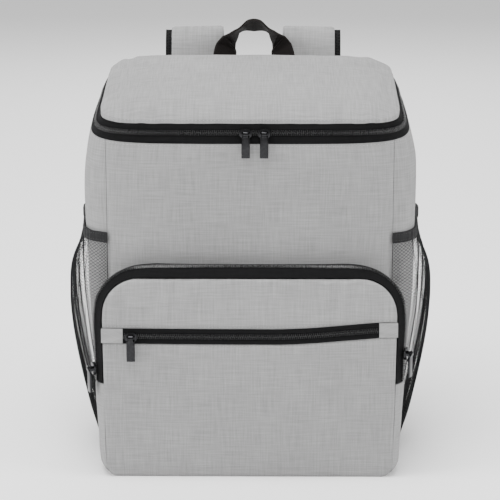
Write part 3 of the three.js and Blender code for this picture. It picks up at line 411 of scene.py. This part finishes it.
def crease_rims(piece, sharper_than):
    select_sharp(piece, sharper_than)
    picked = np.zeros(len(piece.data.edges), bool)
    piece.data.edges.foreach_get("select", picked)
    crease = piece.data.attributes.new("crease_edge", "FLOAT", "EDGE")
    crease.data.foreach_set("value", picked.astype(np.float32))


def smooth_through(piece, levels, sharper_than=38):
    crease_rims(piece, sharper_than)
    want = get_points(piece.data)
    cage = want.copy()
    smoothing = piece.modifiers.new("smoothing", "SUBSURF")
    smoothing.levels = 2
    for step in range(5):
        depsgraph = bpy.context.evaluated_depsgraph_get()
        smooth = piece.evaluated_get(depsgraph).data
        cage += 0.9 * (want - get_points(smooth)[: len(want)])
        set_points(piece, cage)
    smoothing.levels = levels
    smoothing.render_levels = levels
    take(piece)
    bpy.ops.object.modifier_apply(modifier=smoothing.name)
    bpy.ops.object.shade_smooth_by_angle(angle=math.radians(50))
    return piece


def store_map(piece, flat):
    """Stores where each corner lies on the flat cloth, in metres."""
    layers = piece.data.uv_layers
    while layers:
        layers.remove(layers[0])
    corner = np.zeros(len(piece.data.loops), int)
    piece.data.loops.foreach_get("vertex_index", corner)
    layers.new(name="cloth").data.foreach_set("uv", flat[corner].ravel())


def map_cloth(piece, place_of):
    store_map(piece, np.array([place_of(p) for p in get_points(piece.data)]))


# %% [markdown]
# ## Shape by moving points
# Cloth over foam is never flat: it dips where a seam pulls it in, and it buckles softly. Each
# panel's points are moved along a direction by an amount that depends on the place, which is what
# a sculpting brush does. Both skins of a panel move together, so its thickness stays.


# %% Moving the cloth
bag_half_width = 0.155
bag_half_depth = 0.083


def bag_outward(p):
    """Away from the bag's upright middle line, square to its rounded box."""
    x = p[0] / bag_half_width
    y = p[1] / bag_half_depth
    slope_x = math.copysign(abs(x) ** 4, x) / bag_half_width
    slope_y = math.copysign(abs(y) ** 4, y) / bag_half_depth
    return Vector((slope_x, slope_y, 0)).normalized()


def upward(p):
    return Vector((0, 0, 1))


def forward(p):
    return Vector((0, -1, 0))


def rim_points(piece, wanted):
    select_sharp(piece)
    points = get_points(piece.data)
    picked = [i for i, v in enumerate(piece.data.vertices) if v.select]
    if wanted:
        picked = [i for i in picked if wanted(points[i])]
    tree = KDTree(len(picked))
    for i in picked:
        tree.insert(points[i], i)
    tree.balance()
    return tree


def move_cloth(piece, way, amount, wanted=None):
    tree = rim_points(piece, wanted)
    points = get_points(piece.data)
    for i, p in enumerate(points):
        rim_distance = tree.find(p)[2]
        points[i] += np.array(way(p)) * amount(p, rim_distance)
    set_points(piece, points)


def rumple(p, across, up, seed):
    """Soft noise from minus one to one, with its own size across and up."""
    return noise.noise(Vector((p[0] / across, p[1] / across, p[2] / up)) + Vector((seed, 0, 0)))


def seam_dip(rim_distance, depth, width):
    return -depth * math.exp(-((rim_distance / width) ** 2))


def bell(value, middle, width):
    return math.exp(-(((value - middle) / width) ** 2))


# %% [markdown]
# ## The cloth's own directions
# The weave has to follow the cloth round the bag's corners, so each wall point is given its
# distance along the outline, measured once on the rounded box that the panels follow.

# %% The distance round the outline
def boxed(value):
    """A sine or cosine bent so that a circle becomes a rounded box."""
    return math.copysign(abs(value) ** 0.4, value)


angles = np.linspace(-math.pi, math.pi, 721)
outline = np.array(
    [(bag_half_width * boxed(math.cos(a)), bag_half_depth * boxed(math.sin(a))) for a in angles]
)
outline_turns = np.unwrap(np.arctan2(outline[:, 1], outline[:, 0]))
outline_length = np.concatenate([[0], np.cumsum(np.linalg.norm(np.diff(outline, axis=0), axis=1))])
print("outline length in mm:", round(outline_length[-1] / mm))


def wall_map(p):
    return np.interp(math.atan2(p[1], p[0]), outline_turns, outline_length), p[2]


def top_map(p):
    return p[0], p[1]


def face_map(p):
    return p[0], p[2]


# %% [markdown]
# ## The compartment's panels
# The front, sides and back are one foam-lined wall sewn from four panels. Their seams pull in, and
# the foam behind the cloth gives it broad shallow waves.


# %% The wall panels
lid_zip_height = 0.32


def wall_panel(node, seed):
    piece = smooth_through(copy_of(node), 3)

    def amount(p, rim_distance):
        below_zip = 1 - bell(p[2], lid_zip_height, 0.02)
        loose = min(rim_distance / (25 * mm), 1)
        waves = 1.8 * mm * rumple(p, 0.09, 0.06, seed) * loose
        small = 0.5 * mm * rumple(p, 0.022, 0.035, seed + 5) * loose
        return seam_dip(rim_distance, 1.1 * mm, 4 * mm) * below_zip + waves + small

    move_cloth(piece, bag_outward, amount)
    map_cloth(piece, wall_map)
    return dress(piece, node + "_cloth", grey_cloth, "fabric", "bag", node)


front_panel = wall_panel("front_panel", 11)
side_left = wall_panel("side_panel_left", 23)
side_right = wall_panel("side_panel_right", 31)
back_panel = wall_panel("back_panel", 47)
base_panel = smooth_through(copy_of("base_panel"), 2)
map_cloth(base_panel, top_map)
dress(base_panel, "base_cloth", grey_cloth, "fabric", "bag", "base_panel")
print("front panel faces:", len(front_panel.data.polygons))

# %% [markdown]
# ## The lid
# The lid is a soft padded top. The zip's pull at its rear corners leaves shallow creases that run
# in towards the middle, and its front edge buckles a little along the tape.


# %% The lid panel
lid_half_width = 0.142
# each crease has the place where it starts on the side, its lean, and its depth and width in mm
lid_creases = ((0.05, -0.42, 2.0, 5), (0.03, -0.5, 1.4, 4), (-0.02, 0.3, 1.2, 5))


def lid_moves(p, rim_distance):
    loose = min(rim_distance / (30 * mm), 1)
    waves = (2.2 * mm * rumple(p, 0.11, 0.09, 3) + 0.5 * mm * rumple(p, 0.03, 0.03, 8)) * loose
    creases = 0.0
    for side in (-1, 1):
        inward = lid_half_width - side * p[0]
        for start, lean, depth, width in lid_creases:
            if inward > 0:
                off = p[1] - start - lean * inward
                fade = bell(inward, 0.03, 0.035)
                creases -= depth * mm * bell(off, 0, width * mm) * fade
    corner = 0.4 + 0.6 * bell(abs(p[0]), 0.12, 0.03)
    pucker = 1.1 * mm * math.sin(p[0] / (4.2 * mm) + 5 * rumple(p, 0.03, 0.03, 9)) * corner
    pucker *= bell(rim_distance, 6 * mm, 7 * mm)
    return waves + creases + pucker + seam_dip(rim_distance, 0.5 * mm, 2.5 * mm)


lid = smooth_through(copy_of("lid_panel"), 3)
move_cloth(lid, upward, lid_moves)
map_cloth(lid, top_map)
dress(lid, "lid_cloth", grey_cloth, "fabric", "bag", "lid_panel")
print("lid faces:", len(lid.data.polygons))

# %% [markdown]
# ## The front pocket's cloth
# The pocket's face is unpadded cloth, so it puckers under the zip that goes round it, more so at
# its upper corners, and pillows out lower down. The strip round its sides joins it to the bag.


# %% The pocket panels
pocket_top = 0.186
pocket_half_width = 0.137
pocket_middle = 0.09
pocket_reach = 0.1


def pocket_moves(p, rim_distance):
    drop = pocket_top - p[2]
    pleats = math.sin(p[0] / (4.2 * mm) + 5 * rumple(p, 0.04, 0.2, 2))
    corner = 0.5 + 0.5 * min(abs(p[0]) / 0.11, 1)
    gathered = 1.3 * mm * pleats * corner * bell(drop, 0.012, 0.02) * min(rim_distance / (5 * mm), 1)
    loose = min(rim_distance / (25 * mm), 1)
    waves = 2.4 * mm * rumple(p, 0.06, 0.08, 17) * loose
    small = 0.5 * mm * rumple(p, 0.018, 0.04, 29) * loose
    return gathered + waves + small + seam_dip(rim_distance, 1.1 * mm, 2.5 * mm)


def pocket_side(p):
    """Out of the pocket's side or top, square to its rounded outline."""
    x = p[0] / pocket_half_width
    z = max((p[2] - pocket_middle) / pocket_reach, 0)
    return Vector((x**5, 0, z**5)).normalized()


def at_the_edge(p):
    return abs(p[0]) > 0.128 or p[2] < 0.012 or p[2] > 0.16


def rim_groove(p, rim_distance):
    return seam_dip(rim_distance, 1.3 * mm, 1.8 * mm)


for node in ("pocket_face_upper", "pocket_face_lower"):
    piece = smooth_through(copy_of(node), 4)
    move_cloth(piece, forward, pocket_moves)
    move_cloth(piece, pocket_side, rim_groove, wanted=at_the_edge)
    map_cloth(piece, face_map)
    dress(piece, node + "_cloth", grey_cloth, "fabric", "bag", node)
    print(node, "faces:", len(piece.data.polygons))


# %% [markdown]
# ## The pocket's strips
# The strip round the pocket's sides dips along its seams like the face. The two small tabs at the
# ends of the face's zip lie flat.


# %% The pocket's strips
def pocket_turn(p):
    return math.atan2(p[0], p[2] - pocket_middle)


def strip_map(p):
    return pocket_turn(p) * 0.13, p[1]


def strip_moves(p, rim_distance):
    return seam_dip(rim_distance, 0.8 * mm, 2.5 * mm) + 0.6 * mm * rumple(p, 0.03, 0.03, 3)


tabs = ("pocket_zip_tab_left", "pocket_zip_tab_right")
for node in ("pocket_gusset_upper", "pocket_gusset_lower", *tabs):
    piece = smooth_through(copy_of(node), 2 if node in tabs else 3)
    if node not in tabs:
        move_cloth(piece, pocket_side, strip_moves)
    map_cloth(piece, strip_map)
    dress(piece, node + "_cloth", grey_cloth, "fabric", "bag", node)

# %% [markdown]
# ## Ribbons read from the frame
# Tapes, coils, bindings and webbing are all ribbons. A ribbon's CAD solid is a row of rings, so
# sorting its corners along the run gives the two edges of its outer face at each ring. A smooth
# curve through them places anything that has to follow the ribbon.


# %% Reading a ribbon
def spline(marks, points, at):
    """A smooth curve through points at rising marks, read at other marks."""
    slopes = np.gradient(points, marks, axis=0)
    i = np.clip(np.searchsorted(marks, at) - 1, 0, len(marks) - 2)
    span = (marks[i + 1] - marks[i])[:, None]
    t = (np.asarray(at) - marks[i])[:, None] / span
    start = (1 + 2 * t) * (1 - t) ** 2 * points[i] + t * (1 - t) ** 2 * span * slopes[i]
    end = t * t * (3 - 2 * t) * points[i + 1] + t * t * (t - 1) * span * slopes[i + 1]
    return start + end


def merged_points(node):
    rounded = np.round(get_points(frame["nodes"][node].data), 5)
    return np.unique(rounded, axis=0)


def rings_of(node, order):
    """Follows a ribbon's solid from one end to the other, four corners at a time."""
    solid = copy_of(node)
    points = get_points(solid.data)
    near = {i: set() for i in range(len(points))}
    for edge in solid.data.edges:
        a, b = edge.vertices
        near[a].add(b)
        near[b].add(a)
    bpy.data.objects.remove(solid)
    ring = sorted(near, key=lambda i: order(points[i]))[:4]
    ring = [ring[0]] + sorted(ring[1:], key=lambda i: np.linalg.norm(points[i] - points[ring[0]]))
    rings = []
    seen = set()
    while len(ring) == 4:
        rings.append(points[ring])
        seen.update(ring)
        fresh = sorted(set().union(*(near[i] for i in ring)) - seen)
        if len(fresh) != 4:
            break
        shape = points[ring] - points[ring].mean(axis=0)
        centre = points[fresh].mean(axis=0)
        turns = permutations(fresh)
        misfits = [(np.linalg.norm(points[list(turn)] - centre - shape), turn) for turn in turns]
        ring = list(min(misfits)[1])
    return np.array(rings)


class Ribbon:
    def __init__(self, node, order, up, out):
        rings = rings_of(node, order)
        centres = rings.mean(axis=1)
        outness = [sum(np.dot(r[k] - c, out(c)) for r, c in zip(rings, centres)) for k in range(4)]
        upness = [sum(np.dot(r[k] - c, up(c)) for r, c in zip(rings, centres)) for k in range(4)]
        # corners 0 and 1 share the ring's short side, and so do 2 and 3
        pairs = sorted(((0, 1), (2, 3)), key=lambda pair: upness[pair[0]] + upness[pair[1]])
        (low, low_inner), (high, high_inner) = (sorted(pair, key=lambda k: -outness[k]) for pair in pairs)
        self.low = rings[:, low]
        self.high = rings[:, high]
        self.lift = (rings[:, low] + rings[:, high] - rings[:, low_inner] - rings[:, high_inner]) / 2
        middle = (self.low + self.high) / 2
        steps = np.linalg.norm(np.diff(middle, axis=0), axis=1)
        self.marks = np.concatenate([[0], np.cumsum(steps)])
        self.length = self.marks[-1]

    def edges(self, at):
        return spline(self.marks, self.low, at), spline(self.marks, self.high, at)

    def frames(self, at, share=0.5):
        """Places on the ribbon with the directions along, across and out."""
        low, high = self.edges(at)
        place = low + (high - low) * share
        along = np.gradient(place, axis=0)
        along /= np.linalg.norm(along, axis=1)[:, None]
        across = high - low
        across /= np.linalg.norm(across, axis=1)[:, None]
        out = np.cross(along, across)
        out *= np.sign((out * spline(self.marks, self.lift, at)).sum(axis=1))[:, None]
        out /= np.linalg.norm(out, axis=1)[:, None]
        return place, along, across, out


# %% [markdown]
# ## The zips' ribbons
# Each ribbon needs to know which way it runs, which way is across it and which way is out. The
# lid's zip runs round the bag, the face's from left to right, and the pocket's over its outline.


# %% The zips' ribbons
def bag_turn(p):
    return math.atan2(p[0], -p[1])


def left_to_right(p):
    return p[0]


def backward(p):
    return Vector((0, 1, 0))


wall_parts = ("tape_lower", "coil", "tape_upper")
pocket_parts = ("tape_front", "coil", "tape_back")
lid_ribbons = {part: Ribbon("lid_zip_" + part, bag_turn, upward, bag_outward) for part in wall_parts}
face_ribbons = {part: Ribbon("face_zip_" + part, left_to_right, upward, forward) for part in wall_parts}
pocket_ribbons = {
    part: Ribbon("pocket_zip_" + part, pocket_turn, backward, pocket_side) for part in pocket_parts
}
for name, ribbon in (("lid", lid_ribbons), ("face", face_ribbons), ("pocket", pocket_ribbons)):
    print(name, "zip length in mm:", round(ribbon["coil"].length / mm))

# %% [markdown]
# ## Laying cloth along a ribbon
# A grid primitive is a flat ribbon already. Its points are carried over to the ribbon's run, a
# Solidify modifier gives it thickness towards the bag, and its flat coordinates are kept as the
# cloth map, so the weave runs along the tape.


# %% Making a ribbon's cloth
ribbon_step = 2.5 * mm


def lay_ribbon(ribbon, across_points, thickness, lift=0.0, widen=0.0):
    count = max(int(ribbon.length / ribbon_step), 2)
    bpy.ops.mesh.primitive_grid_add(x_subdivisions=count, y_subdivisions=across_points - 1, size=1)
    piece = bpy.context.object
    flat = get_points(piece.data) + 0.5
    places = np.unique(np.round(flat[:, 0], 6))
    run = places * ribbon.length
    low, high = ribbon.edges(run)
    across, out = ribbon.frames(run)[2:]
    row = np.searchsorted(places, np.round(flat[:, 0], 6))
    share = flat[:, 1:2]
    points = low[row] + (high - low)[row] * share + across[row] * (share - 0.5) * widen
    set_points(piece, points + out[row] * lift)
    width = np.linalg.norm((high - low)[row], axis=1)
    store_map(piece, np.stack([flat[:, 1] * width, run[row]], axis=1))
    face = piece.data.polygons[0]
    if face.normal.dot(Vector(out[row[face.vertices[0]]])) < 0:
        edit(piece, lambda: bpy.ops.mesh.flip_normals())
    apply_modifier(piece, "SOLIDIFY", thickness=thickness, offset=-1.0)
    apply_modifier(piece, "BEVEL", width=thickness * 0.3, segments=2, limit_method="ANGLE")
    bpy.ops.object.shade_smooth_by_angle(angle=math.radians(50))
    return piece


# %% [markdown]
# ## The zips
# A coil zip is two springs of nylon that lock into each other on black woven tape. One tooth is
# modelled from a small cylinder with a fuller head and copied along both sides of the run, each
# side half a step behind the other.


# %% One tooth
tooth_pitch = 1.8 * mm
tooth_thickness = 0.95 * mm


def lying_rod(sides, radius, length, cuts):
    bpy.ops.mesh.primitive_cylinder_add(vertices=sides, radius=radius, depth=length, end_fill_type="NGON")
    rod = bpy.context.object
    edit(
        rod,
        lambda: bpy.ops.transform.rotate(value=math.pi / 2, orient_axis="Y", center_override=(0, 0, 0)),
        lambda: bpy.ops.mesh.subdivide(number_cuts=cuts),
    )
    return rod


def make_tooth(length):
    tooth = lying_rod(6, tooth_thickness / 2, length, 2)
    points = get_points(tooth.data)
    toward_head = points[:, 0] / length + 0.5
    swell = 1 + 0.45 * np.exp(-(((toward_head - 0.85) / 0.16) ** 2)) - 0.25 * (toward_head > 0.99)
    points[:, 1] *= swell
    points[:, 2] *= 0.9 + 0.1 * swell
    set_points(tooth, points)
    return tooth


def faces_of(piece):
    return [tuple(face.vertices) for face in piece.data.polygons]


def copies_along(name, pattern, places, ways):
    """One mesh with a copy of the pattern at each place, turned to its three directions."""
    shape = get_points(pattern.data)
    faces = faces_of(pattern)
    count = len(shape)
    points = np.concatenate([place + shape @ way for place, way in zip(places, ways)])
    copied = [tuple(i + k * count for i in face) for k in range(len(places)) for face in faces]
    mesh = bpy.data.meshes.new(name)
    mesh.from_pydata(points.tolist(), [], copied)
    piece = bpy.data.objects.new(name, mesh)
    bpy.context.collection.objects.link(piece)
    bpy.data.objects.remove(pattern)
    edit(piece, lambda: bpy.ops.mesh.normals_make_consistent(inside=False))
    bpy.ops.object.shade_smooth_by_angle(angle=math.radians(50))
    return piece


# %% [markdown]
# ## Teeth and tapes
# The teeth sit on a narrow bed of cloth, and a tape lies on each side of them.


# %% The zips
def lay_teeth(name, ribbon):
    width = np.linalg.norm(ribbon.high[0] - ribbon.low[0])
    tooth = make_tooth(width * 0.56)
    places, ways = [], []
    for side, delay in ((-1, 0.0), (1, 0.5)):
        run = np.arange(tooth_pitch * (0.5 + delay), ribbon.length - tooth_pitch * 0.5, tooth_pitch)
        place, along, across, out = ribbon.frames(run)
        places.append(place + across * side * width * 0.19 - out * 0.35 * mm)
        ways.append(np.stack([-side * across, along, out], axis=1))
    return copies_along(name, tooth, np.concatenate(places), np.concatenate(ways))


def make_zip(name, ribbons):
    for part, ribbon in ribbons.items():
        node = name + "_zip_" + part
        if part == "coil":
            bed = lay_ribbon(ribbon, 5, 1.0 * mm, lift=-0.7 * mm)
            dress(bed, node + "_bed", black_tape, "zip_tape", "bag")
            teeth = lay_teeth(node + "_teeth", ribbon)
            map_cloth(teeth, face_map)
            dress(teeth, node + "_teeth", nylon, "zip_coil", "bag", node)
            print(node, "teeth faces:", len(teeth.data.polygons))
        else:
            tape = lay_ribbon(ribbon, 6, 0.9 * mm, widen=0.5 * mm)
            dress(tape, node + "_weave", black_tape, "zip_tape", "bag", node)


make_zip("lid", lid_ribbons)
make_zip("pocket", pocket_ribbons)
make_zip("face", face_ribbons)

# %% [markdown]
# ## The side nets
# The net is knitted in small diamonds. A grid primitive is poked, so every square gets a middle
# point, and dissolving the grid's own edges leaves diamonds. The points are laid on the net's
# bulging surface, which the CAD lattice gives, with a few folds, and a Wireframe modifier turns
# every edge into a strand.


# %% The net's surface
net_foot = 9 * mm
net_mouth = 213 * mm


class NetSurface:
    def __init__(self, node):
        points = merged_points(node)
        heights = np.linspace(net_foot, net_mouth, 8)
        rows = []
        for height in heights:
            row = points[np.abs(points[:, 2] - height) < 1.3 * mm]
            columns = []
            for p in row[np.argsort(-np.abs(row[:, 0]) - np.abs(row[:, 1]))]:
                if all(np.linalg.norm(p - other) > 2.5 * mm for other in columns):
                    columns.append(p)
            rows.append(sorted(columns, key=lambda p: p[1]))
        self.rows = np.array(rows)
        self.heights = (heights - heights[0]) / (heights[-1] - heights[0])
        steps = np.linalg.norm(np.diff(self.rows[4], axis=0), axis=1)
        self.across = np.concatenate([[0], np.cumsum(steps)])
        self.width = self.across[-1]
        self.height = heights[-1] - heights[0]

    def place(self, across, up):
        """Points of the surface at shares across it and up it."""
        columns = np.array([spline(self.across, row, across * self.width) for row in self.rows])
        return np.array([spline(self.heights, columns[:, k], up[k : k + 1])[0] for k in range(len(up))])


# %% [markdown]
# ## Knitting a net
# A fold draws the diamonds beside it together and stands off the rest. At the front the net is
# drawn over to the bag's front seam.

# %% A net
net_cell = 3.1 * mm
net_strand = 0.52 * mm
# each fold has the share across where it lies, its lean and its width
net_folds = ((0.125, 0.0, 0.012), (0.19, -0.09, 0.012), (0.45, -0.05, 0.018), (0.66, 0.04, 0.016))


def close_to_seam(piece):
    """Draws the front end of a net or its binding over to the front seam."""
    points = get_points(piece.data)
    front = points[:, 1].min()
    near = np.clip(1 - (points[:, 1] - front) / (9 * mm), 0, 1)
    points[:, 0] -= np.sign(points[:, 0]) * 2.4 * mm * near
    set_points(piece, points)


def fold_of(across, up, side):
    """How a fold gathers the net: where each place moves to, and how far it is lifted."""
    moved = across
    lift = 0.8 * mm * math.sin(across * 70 + 6 * up) * up * up
    for middle, lean, width in net_folds:
        centre = middle + lean * (up - 0.5) + 0.012 * math.sin(5 * up + middle * 20 + side)
        off = (across - centre) / width
        near = math.exp(-off * off) * min(up * 3, 1)
        moved -= 1.25 * width * off * near
        lift += 2.2 * mm * near
    return moved, lift


def make_net(node, side):
    surface = NetSurface(node)
    across = round(surface.width / net_cell)
    up = round(surface.height / net_cell)
    bpy.ops.mesh.primitive_grid_add(x_subdivisions=across, y_subdivisions=up, size=1)
    net = bpy.context.object
    edit(net, lambda: bpy.ops.mesh.poke())
    points = get_points(net.data)
    for edge in net.data.edges:
        a, b = (points[i] for i in edge.vertices)
        level = abs(a[1] - b[1]) < 1e-6
        upright = abs(a[0] - b[0]) < 1e-6
        inside = max(abs(a + b)[:2] / 2) < 0.4999
        edge.select = bool((level or upright) and inside)
    for face in net.data.polygons:
        face.select = False
    edit(net, lambda: bpy.ops.mesh.dissolve_edges(use_verts=False), everything=False)
    shares = get_points(net.data) + 0.5
    shares[:, 0] += 0.09 * np.sin(math.pi * np.clip(shares[:, 0] / 0.5, 0, 1)) ** 2
    folded = np.array([fold_of(a, u, side) for a, u in shares[:, :2]])
    points = surface.place(np.clip(folded[:, 0], 0, 1), shares[:, 1])
    outward = np.array([bag_outward(p) for p in points])
    fade = np.clip((1 - shares[:, 1]) * 12, 0, 1) * np.sin(math.pi * shares[:, 0]).clip(0, 1) ** 0.5
    set_points(net, points - outward * (folded[:, 1] * fade)[:, None])
    apply_modifier(net, "WIREFRAME", thickness=net_strand, use_even_offset=False, use_boundary=True)
    close_to_seam(net)
    map_cloth(net, wall_map)
    bpy.ops.object.shade_smooth_by_angle(angle=math.radians(80))
    dress(net, node + "_strands", net_yarn, "net", "bag", node)
    print(node, "faces:", len(net.data.polygons))


make_net("net_left", -1)
make_net("net_right", 1)

# %% [markdown]
# ## The nets' bindings
# Each net's mouth is bound with a folded strip of elastic, which ripples where it gathers the net.


# %% The bindings
def ripple(p, rim_distance):
    return 0.3 * mm * math.sin(p[1] / (0.9 * mm)) * min(rim_distance / mm, 1)


for side in ("left", "right"):
    node = "net_binding_" + side
    piece = smooth_through(copy_of(node), 4)
    move_cloth(piece, bag_outward, ripple)
    close_to_seam(piece)
    map_cloth(piece, wall_map)
    dress(piece, node + "_elastic", black_elastic, "webbing", "bag", node)
    print(node, "faces:", len(piece.data.polygons))

# %% [markdown]
# ## Handle and straps
# The handle is one webbing loop, whose weave follows its arch. The straps are foam between grey
# cloth and black air mesh, with webbing at their ends.


# %% The handle and straps
handle_middle_x = 2.7 * mm
handle_middle_z = 0.345


def handle_map(p):
    x = p[0] - handle_middle_x
    z = p[2] - handle_middle_z
    return math.atan2(x, z) * 0.035, math.hypot(x, z)


handle = smooth_through(copy_of("handle"), 3)
map_cloth(handle, handle_map)
dress(handle, "handle_webbing", black_webbing, "webbing", "bag", "handle")


def strap_map(p):
    turn = math.atan2(p[1] - 0.09, p[2] - 0.3)
    return p[0], p[2] if turn < 0.9 else p[2] + 0.05 * turn


for side in ("left", "right"):
    cover = smooth_through(copy_of(f"strap_{side}_cover"), 2, sharper_than=24)
    apply_modifier(cover, "BEVEL", width=0.8 * mm, segments=2, limit_method="ANGLE")
    map_cloth(cover, strap_map)
    dress(cover, f"strap_{side}_cloth", grey_cloth, "fabric", "bag", f"strap_{side}_cover")
    pad = smooth_through(copy_of(f"strap_{side}_pad"), 2, sharper_than=24)
    apply_modifier(pad, "BEVEL", width=1.6 * mm, segments=3, limit_method="ANGLE")
    map_cloth(pad, strap_map)
    dress(pad, f"strap_{side}_air_mesh", air_mesh, "air_mesh", "bag", f"strap_{side}_pad")
    for part in ("loop", "webbing"):
        node = f"strap_{side}_{part}"
        piece = smooth_through(copy_of(node), 2)
        map_cloth(piece, face_map)
        dress(piece, node + "_weave", black_webbing, "webbing", "bag", node)
    anchor = smooth_through(copy_of(f"strap_{side}_anchor"), 2)
    map_cloth(anchor, wall_map)
    dress(anchor, f"strap_{side}_anchor_cloth", grey_cloth, "fabric", "bag", f"strap_{side}_anchor")
    print(side, "strap faces:", len(cover.data.polygons) + len(pad.data.polygons))

# %% [markdown]
# ## Stitches
# Every seam beside a zip is topstitched. One stitch is a short thread whose ends dive into the
# cloth, made from a cylinder and bent. Copies follow the zip's edges, each set on the nearest
# point of the cloth and turned to the cloth's own normal, so no stitch floats.


# %% Sewing a line
farthest = 5 * mm


def make_stitch(length, radius):
    stitch = lying_rod(5, radius, length, 1)
    points = get_points(stitch.data)
    points[:, 2] += radius * (0.7 - 2.6 * (2 * points[:, 0] / length) ** 2)
    set_points(stitch, points)
    return stitch


def even_steps(line, pitch):
    steps = np.linalg.norm(np.diff(line, axis=0), axis=1)
    marks = np.concatenate([[0], np.cumsum(steps)])
    at = np.arange(pitch / 2, marks[-1], pitch)
    return np.stack([np.interp(at, marks, line[:, k]) for k in range(3)], axis=1)


def cloth_tree(pieces):
    points, faces = [], []
    for piece in pieces:
        faces += [tuple(i + len(points) for i in face) for face in faces_of(piece)]
        points += [tuple(p) for p in get_points(piece.data)]
    return BVHTree.FromPolygons(points, faces)


def sew(name, pieces, lines, pitch=3.4 * mm, thread=grey_thread):
    tree = cloth_tree(pieces)
    places, ways = [], []
    for line in lines:
        spots = even_steps(np.asarray(line), pitch)
        along = np.gradient(spots, axis=0)
        for spot, run in zip(spots, along):
            place, normal, _, distance = tree.find_nearest(spot)
            if distance > farthest:
                continue
            across = normal.cross(Vector(run)).normalized()
            places.append(np.array(place))
            ways.append(np.array([across.cross(normal), across, normal]))
    piece = copies_along(name, make_stitch(pitch * 0.74, 0.2 * mm), np.array(places), np.array(ways))
    map_cloth(piece, face_map)
    dress(piece, name, thread, "fabric", "bag")
    print(name, "stitches:", len(places))


# %% [markdown]
# ## The seams
# Each line runs beside a tape's edge at the distance a sewing machine's foot keeps. The small
# zip's two lines go on to the edges of the pocket's face, as its tabs are sewn in with them.


# %% The seams
face_half_width = 0.1305


def beside(ribbon, edge, off):
    run = np.linspace(0, ribbon.length, 240)
    low, high = ribbon.edges(run)
    across = (high - low) / np.linalg.norm(high - low, axis=1)[:, None]
    return low - across * off if edge == "low" else high + across * off


wall_pieces = [front_panel, side_left, side_right]
sew("lid_stitches", [lid], [beside(lid_ribbons["tape_upper"], "high", 3.2 * mm)])
sew("wall_stitches", wall_pieces, [beside(lid_ribbons["tape_lower"], "low", 2.4 * mm)])
face_pieces = [bpy.data.objects["pocket_face_upper_cloth"], bpy.data.objects["pocket_face_lower_cloth"]]
edge = beside(pocket_ribbons["tape_front"], "low", 0)
inward = np.array([pocket_side(p) for p in edge])
sew("pocket_stitches", face_pieces, [edge - inward * 3 * mm])


def across_the_face(ribbon, edge, off):
    line = beside(ribbon, edge, off)
    left = line[0] * (0, 1, 1) - (face_half_width, 0, 0)
    right = line[-1] * (0, 1, 1) + (face_half_width, 0, 0)
    return np.concatenate([[left], line, [right]])


sew(
    "face_zip_stitches",
    face_pieces,
    [
        across_the_face(face_ribbons["tape_lower"], "low", 1.8 * mm),
        across_the_face(face_ribbons["tape_upper"], "high", 1.8 * mm),
    ],
)
for side in ("left", "right"):
    binding = Ribbon("net_binding_" + side, lambda p: p[1], upward, bag_outward)
    run = np.linspace(0, binding.length, 90)
    low, high = binding.edges(run)
    sew(
        f"net_binding_{side}_stitches",
        [bpy.data.objects[f"net_binding_{side}_elastic"]],
        [low + (high - low) * 0.2, low + (high - low) * 0.8],
        pitch=2.8 * mm,
        thread=black_thread,
    )

# %% [markdown]
# ## Sliders, pulls and buckles
# The hard parts keep the CAD's shape. A copy of each gets small bevels, because a cast edge is
# never sharp and a rounded edge is what catches the light.


# %% The hard parts
def soften_edges(node, width):
    piece = copy_of(node)
    sharp = math.radians(32)
    apply_modifier(piece, "BEVEL", width=width, segments=2, limit_method="ANGLE", angle_limit=sharp)
    bpy.ops.object.shade_smooth_by_angle(angle=math.radians(40))
    return piece


bodies = frame["record"]["behaviour"]["bodies"]
body_of_node = {node: body for body, members in bodies.items() for node in members}
for name in ("lid_left", "lid_right", "face", "pocket_left", "pocket_right"):
    for part in ("slider", "pull"):
        node = f"{name}_{part}"
        piece = soften_edges(node, 0.25 * mm)
        dress(piece, node + "_cast", dark_metal, "pull_metal", body_of_node[node], node)
for side in ("left", "right"):
    node = f"strap_{side}_adjuster"
    piece = soften_edges(node, 0.5 * mm)
    dress(piece, node + "_moulding", black_plastic, "plastic", "bag", node)
print("bodies:", len(bodies))

# %% [markdown]
# ## Sizes and hand-over
# The dressed bag must stay inside the CAD's box but for the little that cloth stands proud, so
# both boxes are written down to be compared.

# %% Clearing the selection
bpy.ops.object.select_all(action="DESELECT")
